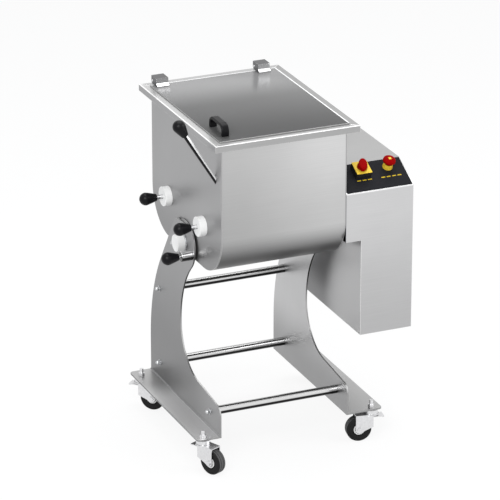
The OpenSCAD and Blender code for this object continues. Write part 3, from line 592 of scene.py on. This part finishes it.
def edge_break(piece: Piece, width: float, segments: int, slot: int) -> None:
    """Rounds the sharp edges of a piece in edit mode.

    Args:
        piece: the piece to shape.
        width: the width of the rounding.
        segments: the number of faces across it.
        slot: the material slot of the new faces, or -1 for their neighbours' slot.
    """
    pick(piece)
    bpy.ops.object.mode_set(mode="EDIT")
    bpy.ops.mesh.select_mode(type="EDGE")
    bpy.ops.mesh.select_all(action="DESELECT")
    bpy.ops.mesh.edges_select_sharp(sharpness=math.radians(ROUNDED_FROM))
    bpy.ops.mesh.bevel(
        offset=width, segments=segments, affect="EDGES", clamp_overlap=True, material=slot
    )
    bpy.ops.object.mode_set(mode="OBJECT")


def dress(piece: Piece, finish: Finish, slot: str, body: str, *nodes: str) -> Piece:
    """Gives a piece its finish, its body and the solids that it stands for.

    Args:
        piece: the piece, already in its place.
        finish: the finish of its first material slot.
        slot: the record's material slot; not used.
        body: the body that it moves with.
        nodes: the solids that it stands for.

    Returns:
        The piece.
    """
    if piece.data.materials:
        piece.data.materials[0] = finish.material()
    else:
        piece.data.materials.append(finish.material())
    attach(piece, body)
    if nodes:
        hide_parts(*nodes)
    LOG.info("%s on %s", piece.name, body)
    return piece


def bar(name: str, across: float, along: float, height: float) -> Piece:
    """A flat bar on the ground plane, centred on the origin.

    Args:
        name: the piece's name.
        across: half its width.
        along: half its length.
        height: its height.

    Returns:
        The piece.
    """
    deselect()
    bpy.ops.mesh.primitive_cube_add(size=1.0)
    piece = bpy.context.active_object
    piece.name = name
    size = Matrix.Diagonal((2 * across, 2 * along, height, 1.0))
    settle(piece, Matrix.Translation((0, 0, height / 2)) @ size)
    return piece


def turned(name: str, profile: Outline, place: Matrix, sides: int = 48) -> Piece:
    """A turned piece along +Z, made by extruding and scaling a disc ring by ring.

    Args:
        name: the piece's name.
        profile: pairs of radius and height, from one end to the other.
        place: where its axis goes.
        sides: the number of faces round it.

    Returns:
        The piece.
    """
    deselect()
    radius, height = profile[0]
    bpy.ops.mesh.primitive_circle_add(
        vertices=sides, radius=radius, fill_type="NGON", location=(0, 0, height)
    )
    piece = bpy.context.active_object
    piece.name = name
    bpy.ops.object.transform_apply(location=True)
    bpy.ops.object.mode_set(mode="EDIT")
    bpy.ops.mesh.select_mode(type="FACE")
    bpy.ops.mesh.select_all(action="SELECT")
    for next_radius, next_height in profile[1:]:
        rise = {"value": (0, 0, next_height - height)}
        bpy.ops.mesh.extrude_region_move(TRANSFORM_OT_translate=rise)
        scale = next_radius / radius
        bpy.ops.transform.resize(value=(scale, scale, 1), center_override=(0, 0, next_height))
        radius, height = next_radius, next_height
    bpy.ops.mesh.select_all(action="SELECT")
    bpy.ops.mesh.normals_make_consistent(inside=False)
    bpy.ops.object.mode_set(mode="OBJECT")
    settle(piece, place)
    smooth(piece)
    return piece


def mirrored(half: Outline) -> Outline:
    """An outline that is the same on both sides of height 0, from its upper half."""
    return [(radius, -height) for radius, height in half] + half[::-1]


def facing(direction: Point, at: Point) -> Matrix:
    """The place of a turned piece whose +Z points along a direction from a point."""
    return Matrix.Translation(at) @ Vector(direction).to_track_quat("Z", "Y").to_matrix().to_4x4()


def repaint(piece: Piece, finish: Finish, wanted: Callable[[Face], bool]) -> None:
    """Gives some faces of a piece another finish.

    Args:
        piece: the piece.
        finish: the finish of those faces.
        wanted: tells whether a face is one of them.
    """
    piece.data.materials.append(finish.material())
    index = len(piece.data.materials) - 1
    for face in piece.data.polygons:
        if wanted(face):
            face.material_index = index


def edit_faces(piece: Piece, wanted: Callable[[Face], bool]) -> None:
    """Enters edit mode with the wanted faces of a piece selected.

    Args:
        piece: the piece.
        wanted: tells whether a face is one of them.
    """
    pick(piece)
    bpy.ops.object.mode_set(mode="EDIT")
    bpy.ops.mesh.select_mode(type="FACE")
    bpy.ops.mesh.select_all(action="DESELECT")
    bpy.ops.object.mode_set(mode="OBJECT")
    for face in piece.data.polygons:
        face.select = wanted(face)
    bpy.ops.object.mode_set(mode="EDIT")


def plain(face: Face) -> bool:
    """Whether a face still has its piece's first finish."""
    return face.material_index == 0


def upward(face: Face) -> bool:
    """Whether a face of the first finish looks up."""
    return plain(face) and face.normal.z > LEVEL


def forward(face: Face) -> bool:
    """Whether a face of the first finish looks to the operator."""
    return plain(face) and face.normal.y < -TOWARDS


def joined(name: str, pieces: list[Piece]) -> Piece:
    """Makes several pieces one object.

    Args:
        name: the object's name.
        pieces: the pieces.

    Returns:
        The object.
    """
    pick(pieces[0])
    for piece in pieces[1:]:
        piece.select_set(True)
    bpy.ops.object.join()
    pieces[0].name = name
    return pieces[0]


class Model:
    """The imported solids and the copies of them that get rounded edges."""

    merge_within: float = 2e-6
    flat_within: float = math.radians(0.4)

    def __init__(self) -> None:
        """Loads the frame."""
        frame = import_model()
        record = frame["record"]
        bodies = record["behaviour"]["bodies"]
        self.nodes: dict[str, Piece] = frame["nodes"]
        self.body_of = {node: body for body, nodes in bodies.items() for node in nodes}
        self.slot_of = {part["node"]: part["material_slot"] for part in record["subparts"]}

    def refined(
        self,
        node: str,
        finish: Finish,
        width: float = 0.8 * MM,
        segments: int = 2,
        edge: Finish | None = None,
    ) -> Piece:
        """A copy of a solid with clean faces and rounded edges, which stands for it.

        Args:
            node: the solid's name.
            finish: the copy's finish.
            width: the width of the rounding.
            segments: the number of faces across it.
            edge: the finish of the rounded edges, where it is another one.

        Returns:
            The copy.
        """
        source = self.nodes[node]
        piece = source.copy()
        piece.data = source.data.copy()
        piece.parent = None
        for key in list(piece.keys()):
            del piece[key]
        bpy.context.scene.collection.objects.link(piece)
        piece.name = node + "_look"
        piece.data.materials.clear()
        pick(piece)
        bpy.ops.object.mode_set(mode="EDIT")
        bpy.ops.mesh.select_all(action="SELECT")
        bpy.ops.mesh.remove_doubles(threshold=self.merge_within)
        bpy.ops.mesh.dissolve_limited(angle_limit=self.flat_within)
        bpy.ops.object.mode_set(mode="OBJECT")
        if edge:
            piece.data.materials.append(finish.material())
            piece.data.materials.append(edge.material())
        edge_break(piece, width, segments, 1 if edge else -1)
        smooth(piece)
        return dress(piece, finish, self.slot_of[node], self.body_of[node], node)

    def kept(self, node: str, finish: Finish) -> None:
        """Gives a solid that stays as it is a better material."""
        for slot in self.nodes[node].material_slots:
            slot.material = finish.material()


@dataclass
class Assembly:
    """A part of the machine.

    Args:
        model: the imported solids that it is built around.
    """

    model: Model


@dataclass
class Tub(Assembly):
    """Trough, end plates, rim and what is fixed to them.

    Args:
        fold: the rounding of the sheets' folds.
        cap_edge: the rounding of the white caps.
        rim_depth: how far under its top the rim's painted fold highlights end.
        glow: how much brighter the painted highlight makes the outer folds at the front and the
            left.
        dusk: how much darker the painted shade makes the outer fold at the right, as what is left.
    """

    fold: float = 1.2 * MM
    cap_edge: float = 1.1 * MM
    rim_depth: float = 30 * MM
    glow: float = 1.9
    dusk: float = 0.7

    def rim(self, piece: Piece, node: str) -> None:
        """Paints the rim's top at its own level on each sheet, with a painted highlight on its
        outer fold at the front and left and painted shade on it at the right, and the skirt under
        it in painted shade.

        Args:
            piece: the trough or an end plate.
            node: its solid's name.
        """
        low, high = corners(node)
        # Painted light and shade: each sheet's rim top gets its own level; its outer fold gets a
        # painted highlight at the front and left, painted shade at the right.
        level, outer = {
            "trough": (0.51, Fade(Axis.Y, low.y + 8 * MM, low.y + 4 * MM, self.glow)),
            "left_end_plate": (0.58, Fade(Axis.X, low.x + 6 * MM, low.x + 3 * MM, self.glow)),
            "right_end_plate": (0.38, Fade(Axis.X, high.x - 3 * MM, high.x - MM, self.dusk)),
        }[node]
        top = replace(SHEET_RIM, title=node + "_rim", colour=(level,) * 3, fades=(outer,))
        repaint(piece, top, upward)
        # Painted shade on the skirt under the rim's front.
        repaint(piece, SKIRT, lambda face: forward(face) and face.center.y < low.y + MM)
        # The painted fold highlight is kept to the rim: folds lower down take the plain rim steel.
        below = high.z - self.rim_depth
        repaint(
            piece, SHEET_RIM, lambda face: face.material_index == 1 and face.center.z < below
        )

    def build(self) -> None:
        """Makes the tub's pieces."""
        for node, finish in (
            ("trough", SHEET_FRONT), ("left_end_plate", SHEET_END), ("right_end_plate", SHEET_END),
        ):
            self.rim(self.model.refined(node, finish, self.fold, 3, edge=FOLD_HIGHLIGHT), node)
        self.model.refined("trunnions", SHEET_STAND)
        self.model.refined("bearing_caps", WHITE_PLASTIC, self.cap_edge, 3)
        self.model.refined("shaft_seals", RUBBER)
        self.model.refined("shaft_bearings", CAST_GREY)
        self.model.refined("hinge_lugs", TURNED_STEEL)
        self.model.refined("hinge_pins", POLISHED)


@dataclass
class Knobs(Assembly):
    """The tapered black knobs, the shanks that carry them, and the lever.

    Args:
        length: from a knob's neck to the end of its dome.
        neck: radius of the neck.
        head: radius of the dome.
        collar: length of the straight neck.
        swell: how even the taper is, 1 for a straight one.
        lean: the lever's lean to the left, in degrees.
        rake: the lever's lean to the rear, in degrees.
        rod_foot: radius of the lever's rod at its foot.
        rod_top: radius of the rod at its knob.
        viewed: the way from the lever to where the photograph was taken.
        shaded: how far round the rod its painted shade reaches.
    """

    length: float = 55 * MM
    neck: float = 11.5 * MM
    head: float = 20 * MM
    collar: float = 3 * MM
    swell: float = 0.75
    lean: float = 31.0
    rake: float = 6.0
    rod_foot: float = 6.6 * MM
    rod_top: float = 7.5 * MM
    viewed: Point = (-0.37, -0.85, 0.37)
    shaded: float = 0.2

    def profile(self) -> Outline:
        """Outline of a knob from its neck to its domed end.

        Returns:
            Pairs of radius and height.
        """
        centre = self.length - self.head
        taper, rings = centre - MM - self.collar, 9
        outline = [
            (self.neck - 1.5 * MM, 0.0), (self.neck - 0.3 * MM, 0.8 * MM), (self.neck, self.collar),
        ]
        for k in range(1, rings):
            t = k / rings
            wide = self.swell * t + (1 - self.swell) * math.sin(math.pi * t / 2)
            outline.append((self.neck + (self.head - self.neck) * wide, self.collar + taper * t))
        for degrees in (0, 12, 24, 36, 48, 60, 72, 82):
            turn = math.radians(degrees)
            outline.append((self.head * math.cos(turn), centre + self.head * math.sin(turn)))
        return outline

    def place(self, node: str, way: Vector) -> Matrix:
        """Finds the place of a knob's neck.

        Args:
            node: the knob's solid.
            way: the way that it points.

        Returns:
            The place, with +Z along that way.
        """
        low, high = corners(node)
        ball = (low + high) / 2
        for i in range(3):
            if way[i] > ASLANT:
                ball[i] = high[i] - self.head
            elif way[i] < -ASLANT:
                ball[i] = low[i] + self.head
        return facing(way, ball - way * (self.length - self.head))

    def build(self) -> None:
        """Makes the four knobs, dresses their pins and makes the lever."""
        lean = Matrix.Rotation(math.radians(-self.lean), 3, "Y")
        rake = Matrix.Rotation(math.radians(-self.rake), 3, "X")
        left, slanted = Vector((-1, 0, 0)), lean @ rake @ Vector((0, 0, 1))
        for node, way in (
            ("rear_shaft_knob", left), ("front_shaft_knob", left), ("index_knob", left),
            ("lever_knob", slanted),
        ):
            knob = turned(node + "_look", self.profile(), self.place(node, way))
            dress(knob, BLACK_GLOSS, "black_plastic", self.model.body_of[node], node)
        for node in ("rear_shaft_pin", "front_shaft_pin", "index_pin"):
            self.model.refined(node, POLISHED)
        self.model.refined("index_housing", ROD, 1.0 * MM, 3)
        self.lever(slanted)

    def lever(self, way: Vector) -> None:
        """Makes the slanted rod, with painted shade towards the rear and a painted highlight
        towards the front.

        Args:
            way: the way that the rod points.
        """
        node = "lever_rod"
        neck = self.place("lever_knob", way).translation
        reach = (neck.z - corners(node)[0].z) / way.z
        outline = [(self.rod_foot, 0), (self.rod_top, reach + 2 * MM)]
        rod = turned(node + "_look", outline, facing(way, neck - way * reach), 32)
        dress(rod, LEVER_HIGHLIGHT, self.model.slot_of[node], self.model.body_of[node], node)
        # Painted shade: faces turned away from ahead, which is set by the direction from which the
        # lever is seen, are near black; the rest keep the painted highlight.
        ahead = way.cross(Vector(self.viewed)).normalized()
        repaint(rod, SHADED_STEEL, lambda face: face.normal.dot(ahead) < self.shaded)


@dataclass
class Lid(Assembly):
    """Smoked sheet, bridge handle and hinge arms.

    Args:
        edge: the rounding of the sheet's edges.
        line: the width of the painted highlight line inside them.
    """

    edge: float = 0.7 * MM
    line: float = 4.0 * MM

    def build(self) -> None:
        """Makes the lid's pieces."""
        self.sheet()
        self.model.refined("lid_handle", BLACK_GLOSS, 3.0 * MM, 4)
        arms = self.model.refined("lid_hinge_arms", POLISHED, 1.0 * MM)
        # Painted dark reflection on the hinge arms' tops and left sides.
        repaint(
            arms, PAINTED_DARK_REFLECTION, lambda face: face.normal.z > TOWARDS or face.normal.x < -TOWARDS
        )

    def sheet(self) -> None:
        """Makes the sheet: cut edges painted a light steel grey, and a painted highlight line
        inside its right and rear edges.
        """
        sheet = self.model.refined("lid_sheet", SMOKED, self.edge)
        edit_faces(sheet, lambda face: face.normal.z > LEVEL)
        bpy.ops.mesh.inset(thickness=self.line)
        bpy.ops.object.mode_set(mode="OBJECT")
        high = corners("lid_sheet")[1]
        right, rear = high.x - self.edge - self.line, high.y - self.edge - self.line
        # Painted light: the side faces take the skirt's steel grey, lighter than the smoked sheet.
        repaint(sheet, SKIRT, lambda face: face.normal.z < LEVEL)
        # Painted highlight: the band inside the right and rear edges.
        repaint(
            sheet,
            EDGE_HIGHLIGHT,
            lambda face: not face.select
            and face.normal.z > ACROSS
            and (face.center.x > right or face.center.y > rear),
        )


@dataclass
class Stand(Assembly):
    """Side plates, rods, nuts and the fixed pivot pieces.

    Args:
        pivot_edge: the rounding of the pivots' bosses and caps.
    """

    pivot_edge: float = 1.2 * MM

    def build(self) -> None:
        """Makes the stand's pieces."""
        for node, finish, foot in (
            ("left_stand_plate", SHEET_STAND, LIT_FOOT),
            ("right_stand_plate", SHEET_INNER, SHEET_FOOT),
        ):
            plate = self.model.refined(node, finish)
            # Painted light on the left plate's foot; the right plate's foot keeps the plain steel.
            repaint(plate, foot, upward)
            # Painted shade on the plates' cut edges.
            repaint(plate, CUT_EDGE, lambda face: plain(face) and abs(face.normal.x) < ACROSS)
        self.model.refined("cross_rods", CROSS_ROD)
        self.model.refined("stand_bolts", TURNED_STEEL, 0.4 * MM)
        self.model.refined("pivot_bosses", TURNED_STEEL, self.pivot_edge, 3)
        self.model.refined("pivot_caps", WHITE_PLASTIC, self.pivot_edge, 3)
        self.model.refined("pivot_bushes", WHITE_PLASTIC)
        self.model.refined("caster_stems", ZINC, 0.5 * MM)


@dataclass
class Caster(Assembly):
    """One swivel caster with its braked wheel.

    Args:
        name: which caster, such as front_left.
        heading: the direction in which the wheel trails, in degrees.
        radius: the wheel's radius.
        tyre: the height of the tyre over its hub.
        half_width: half the tyre's width.
        web: half the thickness of the hub's recessed web.
        shoe_drop: how far under the wheel's top the brake's black shoe ends.
        tread_from: the distance from the axle at which the tread begins.
    """

    name: str
    heading: float
    radius: float = 40 * MM
    tyre: float = 22.5 * MM
    half_width: float = 15 * MM
    web: float = 8 * MM
    shoe_drop: float = 9 * MM
    tread_from: float = 30 * MM

    def tread(self) -> Outline:
        """Outline of the tyre, from inside the hub round its tread.

        Returns:
            Pairs of radius and height.
        """
        r, w, inner = self.radius, self.half_width, self.radius - self.tyre
        half = [
            (inner, 2 * MM), (inner, w - 1.6 * MM), (inner + 4 * MM, w - 1.2 * MM),
            (inner + 5 * MM, w), (r - 9 * MM, w), (r - 8.4 * MM, w - 0.6 * MM),
            (r - 7 * MM, w - 0.6 * MM), (r - 6.4 * MM, w), (r - 4 * MM, w),
            (r - 2.2 * MM, w - 0.5 * MM), (r - 0.8 * MM, w - 1.7 * MM),
            (r - 0.1 * MM, w - 3.6 * MM), (r, w - 6 * MM), (r, w - 9 * MM),
            (r - 0.8 * MM, w - 9.6 * MM), (r - 0.8 * MM, w - 10.4 * MM), (r, w - 11 * MM),
        ]
        return mirrored(half)

    def hub_outline(self) -> Outline:
        """Outline of the hub with its recessed web.

        Returns:
            Pairs of radius and height.
        """
        w, inner = self.half_width, self.radius - self.tyre
        half = [
            (8 * MM, w + 0.7 * MM), (9.6 * MM, w + 0.7 * MM), (10.2 * MM, w),
            (11 * MM, self.web + 0.6 * MM), (12 * MM, self.web), (inner - 4.4 * MM, self.web),
            (inner - 3.4 * MM, self.web + 0.8 * MM), (inner - 2.6 * MM, w - 0.6 * MM),
            (inner - 1.6 * MM, w - 0.2 * MM), (inner - 0.05 * MM, w - 0.4 * MM),
        ]
        return mirrored(half)

    def build(self) -> None:
        """Makes the caster's pieces."""
        wheel, body = self.name + "_wheel", self.name + "_roller"
        low, high = corners(wheel)
        self.model.refined(self.name + "_fork", ZINC, 0.6 * MM)
        brake = self.model.refined(self.name + "_brake", ZINC, 0.5 * MM)
        repaint(brake, BLACK_MATT, lambda face: face.center.z < high.z - self.shoe_drop)
        axle = (low + high) / 2
        heading = Matrix.Rotation(math.radians(self.heading), 4, "Z")
        hub = Matrix.Translation(axle) @ heading @ Matrix.Rotation(math.pi / 2, 4, "X")
        across = hub.to_3x3() @ Vector((0, 0, 1))
        tyre = turned(self.name + "_tyre", self.tread(), hub, 72)
        dress(tyre, RUBBER, "wheel_rubber", body, wheel)
        repaint(
            tyre,
            TREAD,
            lambda face: abs(face.normal.dot(across)) < ACROSS
            and (face.center - axle).length > self.tread_from,
        )
        centre = turned(self.name + "_hub", self.hub_outline(), hub)
        dress(centre, HUB_WHITE, "wheel_rubber", body)


@dataclass
class Cabinet(Assembly):
    """Drive cabinet, its panel and controls.

    Args:
        run: the panel's reach from the front to the rear.
        fall: the panel's height difference.
        plate: the black plate's thickness.
        base_height: height of the switch's base.
        plate_height: thickness of the switch's yellow plate.
        collar_height: height of the stop's collar.
        travel: how far the stop is pressed.
        switch_at: the switch's place across the panel, and up it as a share of its length.
        stop_at: the stop's place, in the same way.
        wing_turn: how far the switch's wing stands turned, in degrees.
        wing_width: the wing's width as a share of its length.
        head: radius of the stop's head.
        dome: height of its dome.
        bar_rows: where each row of bars is centred across the panel, and how many it has.
        bars_along: the rows' place up the panel.
        bar_pitch: from one bar to the next.
        inner_edge: width of the strip at the cabinet's left edge whose folds get painted shade
            instead of the painted highlight.
    """

    run: float = 104 * MM
    fall: float = 54 * MM
    plate: float = 1.5 * MM
    base_height: float = 20 * MM
    plate_height: float = 2 * MM
    collar_height: float = 16 * MM
    travel: float = 4 * MM
    switch_at: tuple[float, float] = (78 * MM, 0.66)
    stop_at: tuple[float, float] = (170 * MM, 0.7)
    wing_turn: float = -20.0
    wing_width: float = 0.58
    head: float = 20 * MM
    dome: float = 9.5 * MM
    bar_rows: tuple[tuple[float, int], ...] = ((78 * MM, 3), (168 * MM, 4))
    bars_along: float = 44 * MM
    bar_pitch: float = 18 * MM
    inner_edge: float = 3 * MM

    @property
    def slope(self) -> float:
        """Slope of the panel, in radians."""
        return math.atan2(self.fall, self.run)

    @property
    def length(self) -> float:
        """Length of the panel up its slope."""
        return math.hypot(self.fall, self.run)

    def on_panel(self, across: float, along: float, lift: float) -> Matrix:
        """Finds a place on the panel.

        Args:
            across: the distance from the cabinet's left side.
            along: the distance up the panel from its lower edge.
            lift: the height over the shell.

        Returns:
            The place, with +Z along the panel's outward normal.
        """
        low, high = corners("cabinet_shell")
        return (
            Matrix.Translation((low.x + across, low.y, high.z - self.fall))
            @ Matrix.Rotation(self.slope, 4, "X")
            @ Matrix.Translation((0, along, lift))
        )

    def marks(self, across: float, along: float, lift: float) -> None:
        """Makes the figures 1 and 0 on the switch's plate.

        Args:
            across: the switch's place across the panel.
            along: its place up the panel.
            lift: the height of the plate's top.
        """
        one = bar("switch_mark_one", 0.3 * MM, 2 * MM, 0.15 * MM)
        settle(one, self.on_panel(across + 20 * MM, along + 4 * MM, lift))
        dress(one, BLACK_MATT, "black_plastic", "tub")
        deselect()
        bpy.ops.mesh.primitive_torus_add(
            major_radius=1.9 * MM, minor_radius=0.3 * MM, major_segments=32, minor_segments=8
        )
        ring = bpy.context.active_object
        ring.name = "switch_mark_nought"
        oval = Matrix.Diagonal((0.8, 1.1, 0.5, 1.0))
        settle(ring, self.on_panel(across + 6 * MM, along + 21 * MM, lift) @ oval)
        smooth(ring)
        dress(ring, BLACK_MATT, "black_plastic", "tub")

    def switch(self) -> None:
        """Makes the rotary switch: base, plate with its marks, and the winged knob."""
        across, along = self.switch_at[0], self.length * self.switch_at[1]
        self.model.refined("switch_base", BLACK_MATT, 1.0 * MM)
        self.model.refined("switch_plate", YELLOW, 0.4 * MM)
        top = self.plate + self.base_height + self.plate_height
        self.marks(across, along, top)
        place = self.on_panel(across, along, top + 0.3 * MM)
        skirt_outline = [
            (15.6 * MM, 0), (16 * MM, 0.5 * MM), (16 * MM, 5 * MM), (14.6 * MM, 6.4 * MM),
        ]
        wing_outline = [
            (22.6 * MM, 5 * MM), (23.4 * MM, 7 * MM), (23.4 * MM, 13 * MM),
            (22.2 * MM, 16.5 * MM), (19 * MM, 18.4 * MM), (14 * MM, 19 * MM),
        ]
        turn = Matrix.Rotation(math.radians(self.wing_turn), 4, "Z")
        squeeze = Matrix.Diagonal((self.wing_width, 1.0, 1.0, 1.0))
        skirt = turned("switch_skirt", skirt_outline, place, 64)
        wing = turned("switch_wing", wing_outline, place @ turn @ squeeze, 24)
        knob = joined("switch_knob_look", [skirt, wing])
        dress(knob, RED, "red_plastic", "switch", "switch_knob")

    def stop(self) -> None:
        """Makes the emergency stop: collar, domed head and its square mark."""
        across, along = self.stop_at[0], self.length * self.stop_at[1]
        self.model.refined("stop_collar", YELLOW)
        foot = self.collar_height + self.travel + 0.3 * MM
        brow = foot + 9 * MM
        outline = [
            (9 * MM, self.travel + MM), (9 * MM, foot), (14.6 * MM, foot),
            (15.6 * MM, foot + 0.6 * MM), (18.6 * MM, foot + 4.4 * MM),
            (19.8 * MM, foot + 7 * MM), (self.head, brow),
        ]
        for degrees in (15, 30, 45, 60, 75):
            turn = math.radians(degrees)
            outline.append((self.head * math.cos(turn), brow + self.dome * math.sin(turn)))
        head = turned("stop_head_look", outline, self.on_panel(across, along, self.plate), 64)
        dress(head, RED, "red_plastic", "stop", "stop_head")
        mark = bar("stop_mark", 4 * MM, 4 * MM, 0.5 * MM)
        settle(mark, self.on_panel(across, along, self.plate + brow + 9 * MM))
        dress(mark, YELLOW, "yellow_plastic", "stop")

    def dashes(self) -> None:
        """Lays plain bars on the panel, in front of the two controls."""
        bars = []
        for across, count in self.bar_rows:
            for k in range(count):
                at = across + (k - (count - 1) / 2) * self.bar_pitch
                dash = bar(f"panel_bar_{len(bars)}", 6.5 * MM, 1.7 * MM, 0.12 * MM)
                settle(dash, self.on_panel(at, self.bars_along, self.plate))
                bars.append(dash)
        dress(joined("panel_bars", bars), MARK, "yellow_plastic", "tub")

    def build(self) -> None:
        """Makes the cabinet's pieces and dresses the drive in it."""
        shell = self.model.refined("cabinet_shell", SHEET_CABINET, 1.2 * MM, 3, edge=FOLD_HIGHLIGHT)
        inner = corners("cabinet_shell")[0].x + self.inner_edge
        # Painted shade on the shell's upward faces, and a painted highlight band on its front face.
        repaint(shell, SHEET_TOP, upward)
        repaint(shell, CABINET_FRONT, forward)
        # Painted shade: the folds at the shell's left edge take the darker gear steel instead of
        # the fold highlight.
        repaint(
            shell, GEAR_STEEL, lambda face: face.material_index == 1 and face.center.x < inner
        )
        self.model.refined("cabinet_back", SHEET_CABINET, 0.6 * MM)
        self.model.refined("panel_plate", PANEL, 0.3 * MM)
        self.model.refined("cable_gland", BLACK_MATT, 0.5 * MM)
        self.switch()
        self.stop()
        self.dashes()
        for finish, nodes in (
            (CAST_GREY, ("motor", "gearbox")),
            (TURNED_STEEL, ("drive_plate", "idler_axle")),
            (GEAR_STEEL, ("drive_gear", "idler_gear", "rear_gear", "front_gear")),
        ):
            for node in nodes:
                self.model.kept(node, finish)
        for node in ("rear_paddle_shaft", "front_paddle_shaft"):
            self.model.refined(node, SHEET_FRONT)


@dataclass(frozen=True)
class Lamp:
    """One square lamp.

    Args:
        name: its name.
        at: its place.
        size: its side.
        power: its power, in watts.
    """

    name: str
    at: Point
    size: float
    power: float


@dataclass
class Studio:
    """Camera, floor, lamps and background.

    Args:
        eye: the camera's place.
        yaw: its turn to the right, in degrees.
        pitch: its tilt down, in degrees.
        lens: its focal length, in millimetres.
        sensor: its sensor's width, in millimetres.
        floor_size: the side of the floor.
        floor_colour: the colour of the floor.
        floor_glow: the share of the background's white that the floor shows.
        sky: the colour of the light from all round.
        sky_level: the strength of that light.
        target: where the lamps point.
        lamps: the lamps.
    """

    eye: Point = (-4.0807, -9.3209, 4.6870)
    yaw: float = 23.379
    pitch: float = 21.9806
    lens: float = 255.99
    sensor: float = 36.0
    floor_size: float = 60.0
    floor_colour: Colour = (0.93, 0.93, 0.93)
    floor_glow: float = 0.88
    sky: Colour = (0.95, 0.97, 1.0)
    sky_level: float = 0.55
    target: Point = (0.0, 0.0, 0.7)
    lamps: list[Lamp] = field(
        default_factory=lambda: [
            Lamp("key", (-2.6, -3.4, 3.6), 2.6, 150.0),
            Lamp("fill", (3.4, -2.2, 2.4), 2.4, 60.0),
            Lamp("top", (0.4, 0.6, 4.2), 3.0, 90.0),
        ]
    )

    def camera(self) -> None:
        """Places the camera at the photograph's viewpoint."""
        deselect()
        turn = (math.radians(90 - self.pitch), 0, math.radians(-self.yaw))
        bpy.ops.object.camera_add(location=self.eye, rotation=turn)
        camera = bpy.context.active_object
        camera.name = "viewpoint"
        camera.data.lens = self.lens
        camera.data.sensor_width = self.sensor
        camera.data.clip_end = 100
        bpy.context.scene.camera = camera

    def floor(self) -> None:
        """Lays a pale floor under the machine, which shows the white background."""
        deselect()
        bpy.ops.mesh.primitive_plane_add(size=self.floor_size)
        floor = bpy.context.active_object
        floor.name = "floor"
        material = bpy.data.materials.new("floor")
        material.use_nodes = True
        tree = Tree(material.node_tree)
        shader = tree.shader()
        shader.inputs["Base Color"].default_value = (*self.floor_colour, 1)
        shader.inputs["Roughness"].default_value = 0.9
        shader.inputs["Specular IOR Level"].default_value = 0.1
        share = tree.maths("MULTIPLY", tree.seen(), self.floor_glow)
        mix = tree.blend(share, shader.outputs[0], tree.add("Emission").outputs[0])
        tree.link(mix, material.node_tree.nodes["Material Output"].inputs["Surface"])
        floor.data.materials.append(material)

    def light(self) -> None:
        """Hangs the lamps."""
        for lamp in self.lamps:
            deselect()
            bpy.ops.object.light_add(type="AREA", location=lamp.at)
            made = bpy.context.active_object
            made.name = lamp.name
            way = Vector(self.target) - Vector(lamp.at)
            made.rotation_euler = way.to_track_quat("-Z", "Y").to_euler()
            made.data.size = lamp.size
            made.data.energy = lamp.power

    def background(self) -> None:
        """Sets the soft light from all round, and white where the background is seen."""
        world = bpy.data.worlds.new("studio")
        bpy.context.scene.world = world
        world.use_nodes = True
        world.node_tree.nodes.clear()
        tree = Tree(world.node_tree)
        soft, white = tree.add("Background"), tree.add("Background")
        soft.inputs["Color"].default_value = (*self.sky, 1)
        soft.inputs["Strength"].default_value = self.sky_level
        white.inputs["Color"].default_value = (1, 1, 1, 1)
        white.inputs["Strength"].default_value = 1.0
        mix = tree.blend(tree.seen(), soft.outputs[0], white.outputs[0])
        tree.link(mix, tree.add("OutputWorld").inputs["Surface"])
        bpy.context.scene.view_settings.view_transform = "Standard"

    def build(self) -> None:
        """Sets up the whole studio."""
        self.camera()
        self.floor()
        self.light()
        self.background()


# The direction in which each caster's wheel trails, in degrees.
CASTERS = {"front_left": -66.0, "rear_left": -45.0, "front_right": 170.0, "rear_right": -55.0}


def main() -> None:
    """Builds the machine's looks and the studio."""
    logging.basicConfig(level=logging.INFO, format="%(name)s: %(message)s")
    for thing in list(bpy.data.objects):
        bpy.data.objects.remove(thing)
    model = Model()
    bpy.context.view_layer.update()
    Studio().build()
    for assembly in (Tub, Knobs, Lid, Stand, Cabinet):
        assembly(model).build()
    for name, heading in CASTERS.items():
        Caster(model, name, heading).build()
    deselect()


if __name__ == "__main__":
    main()
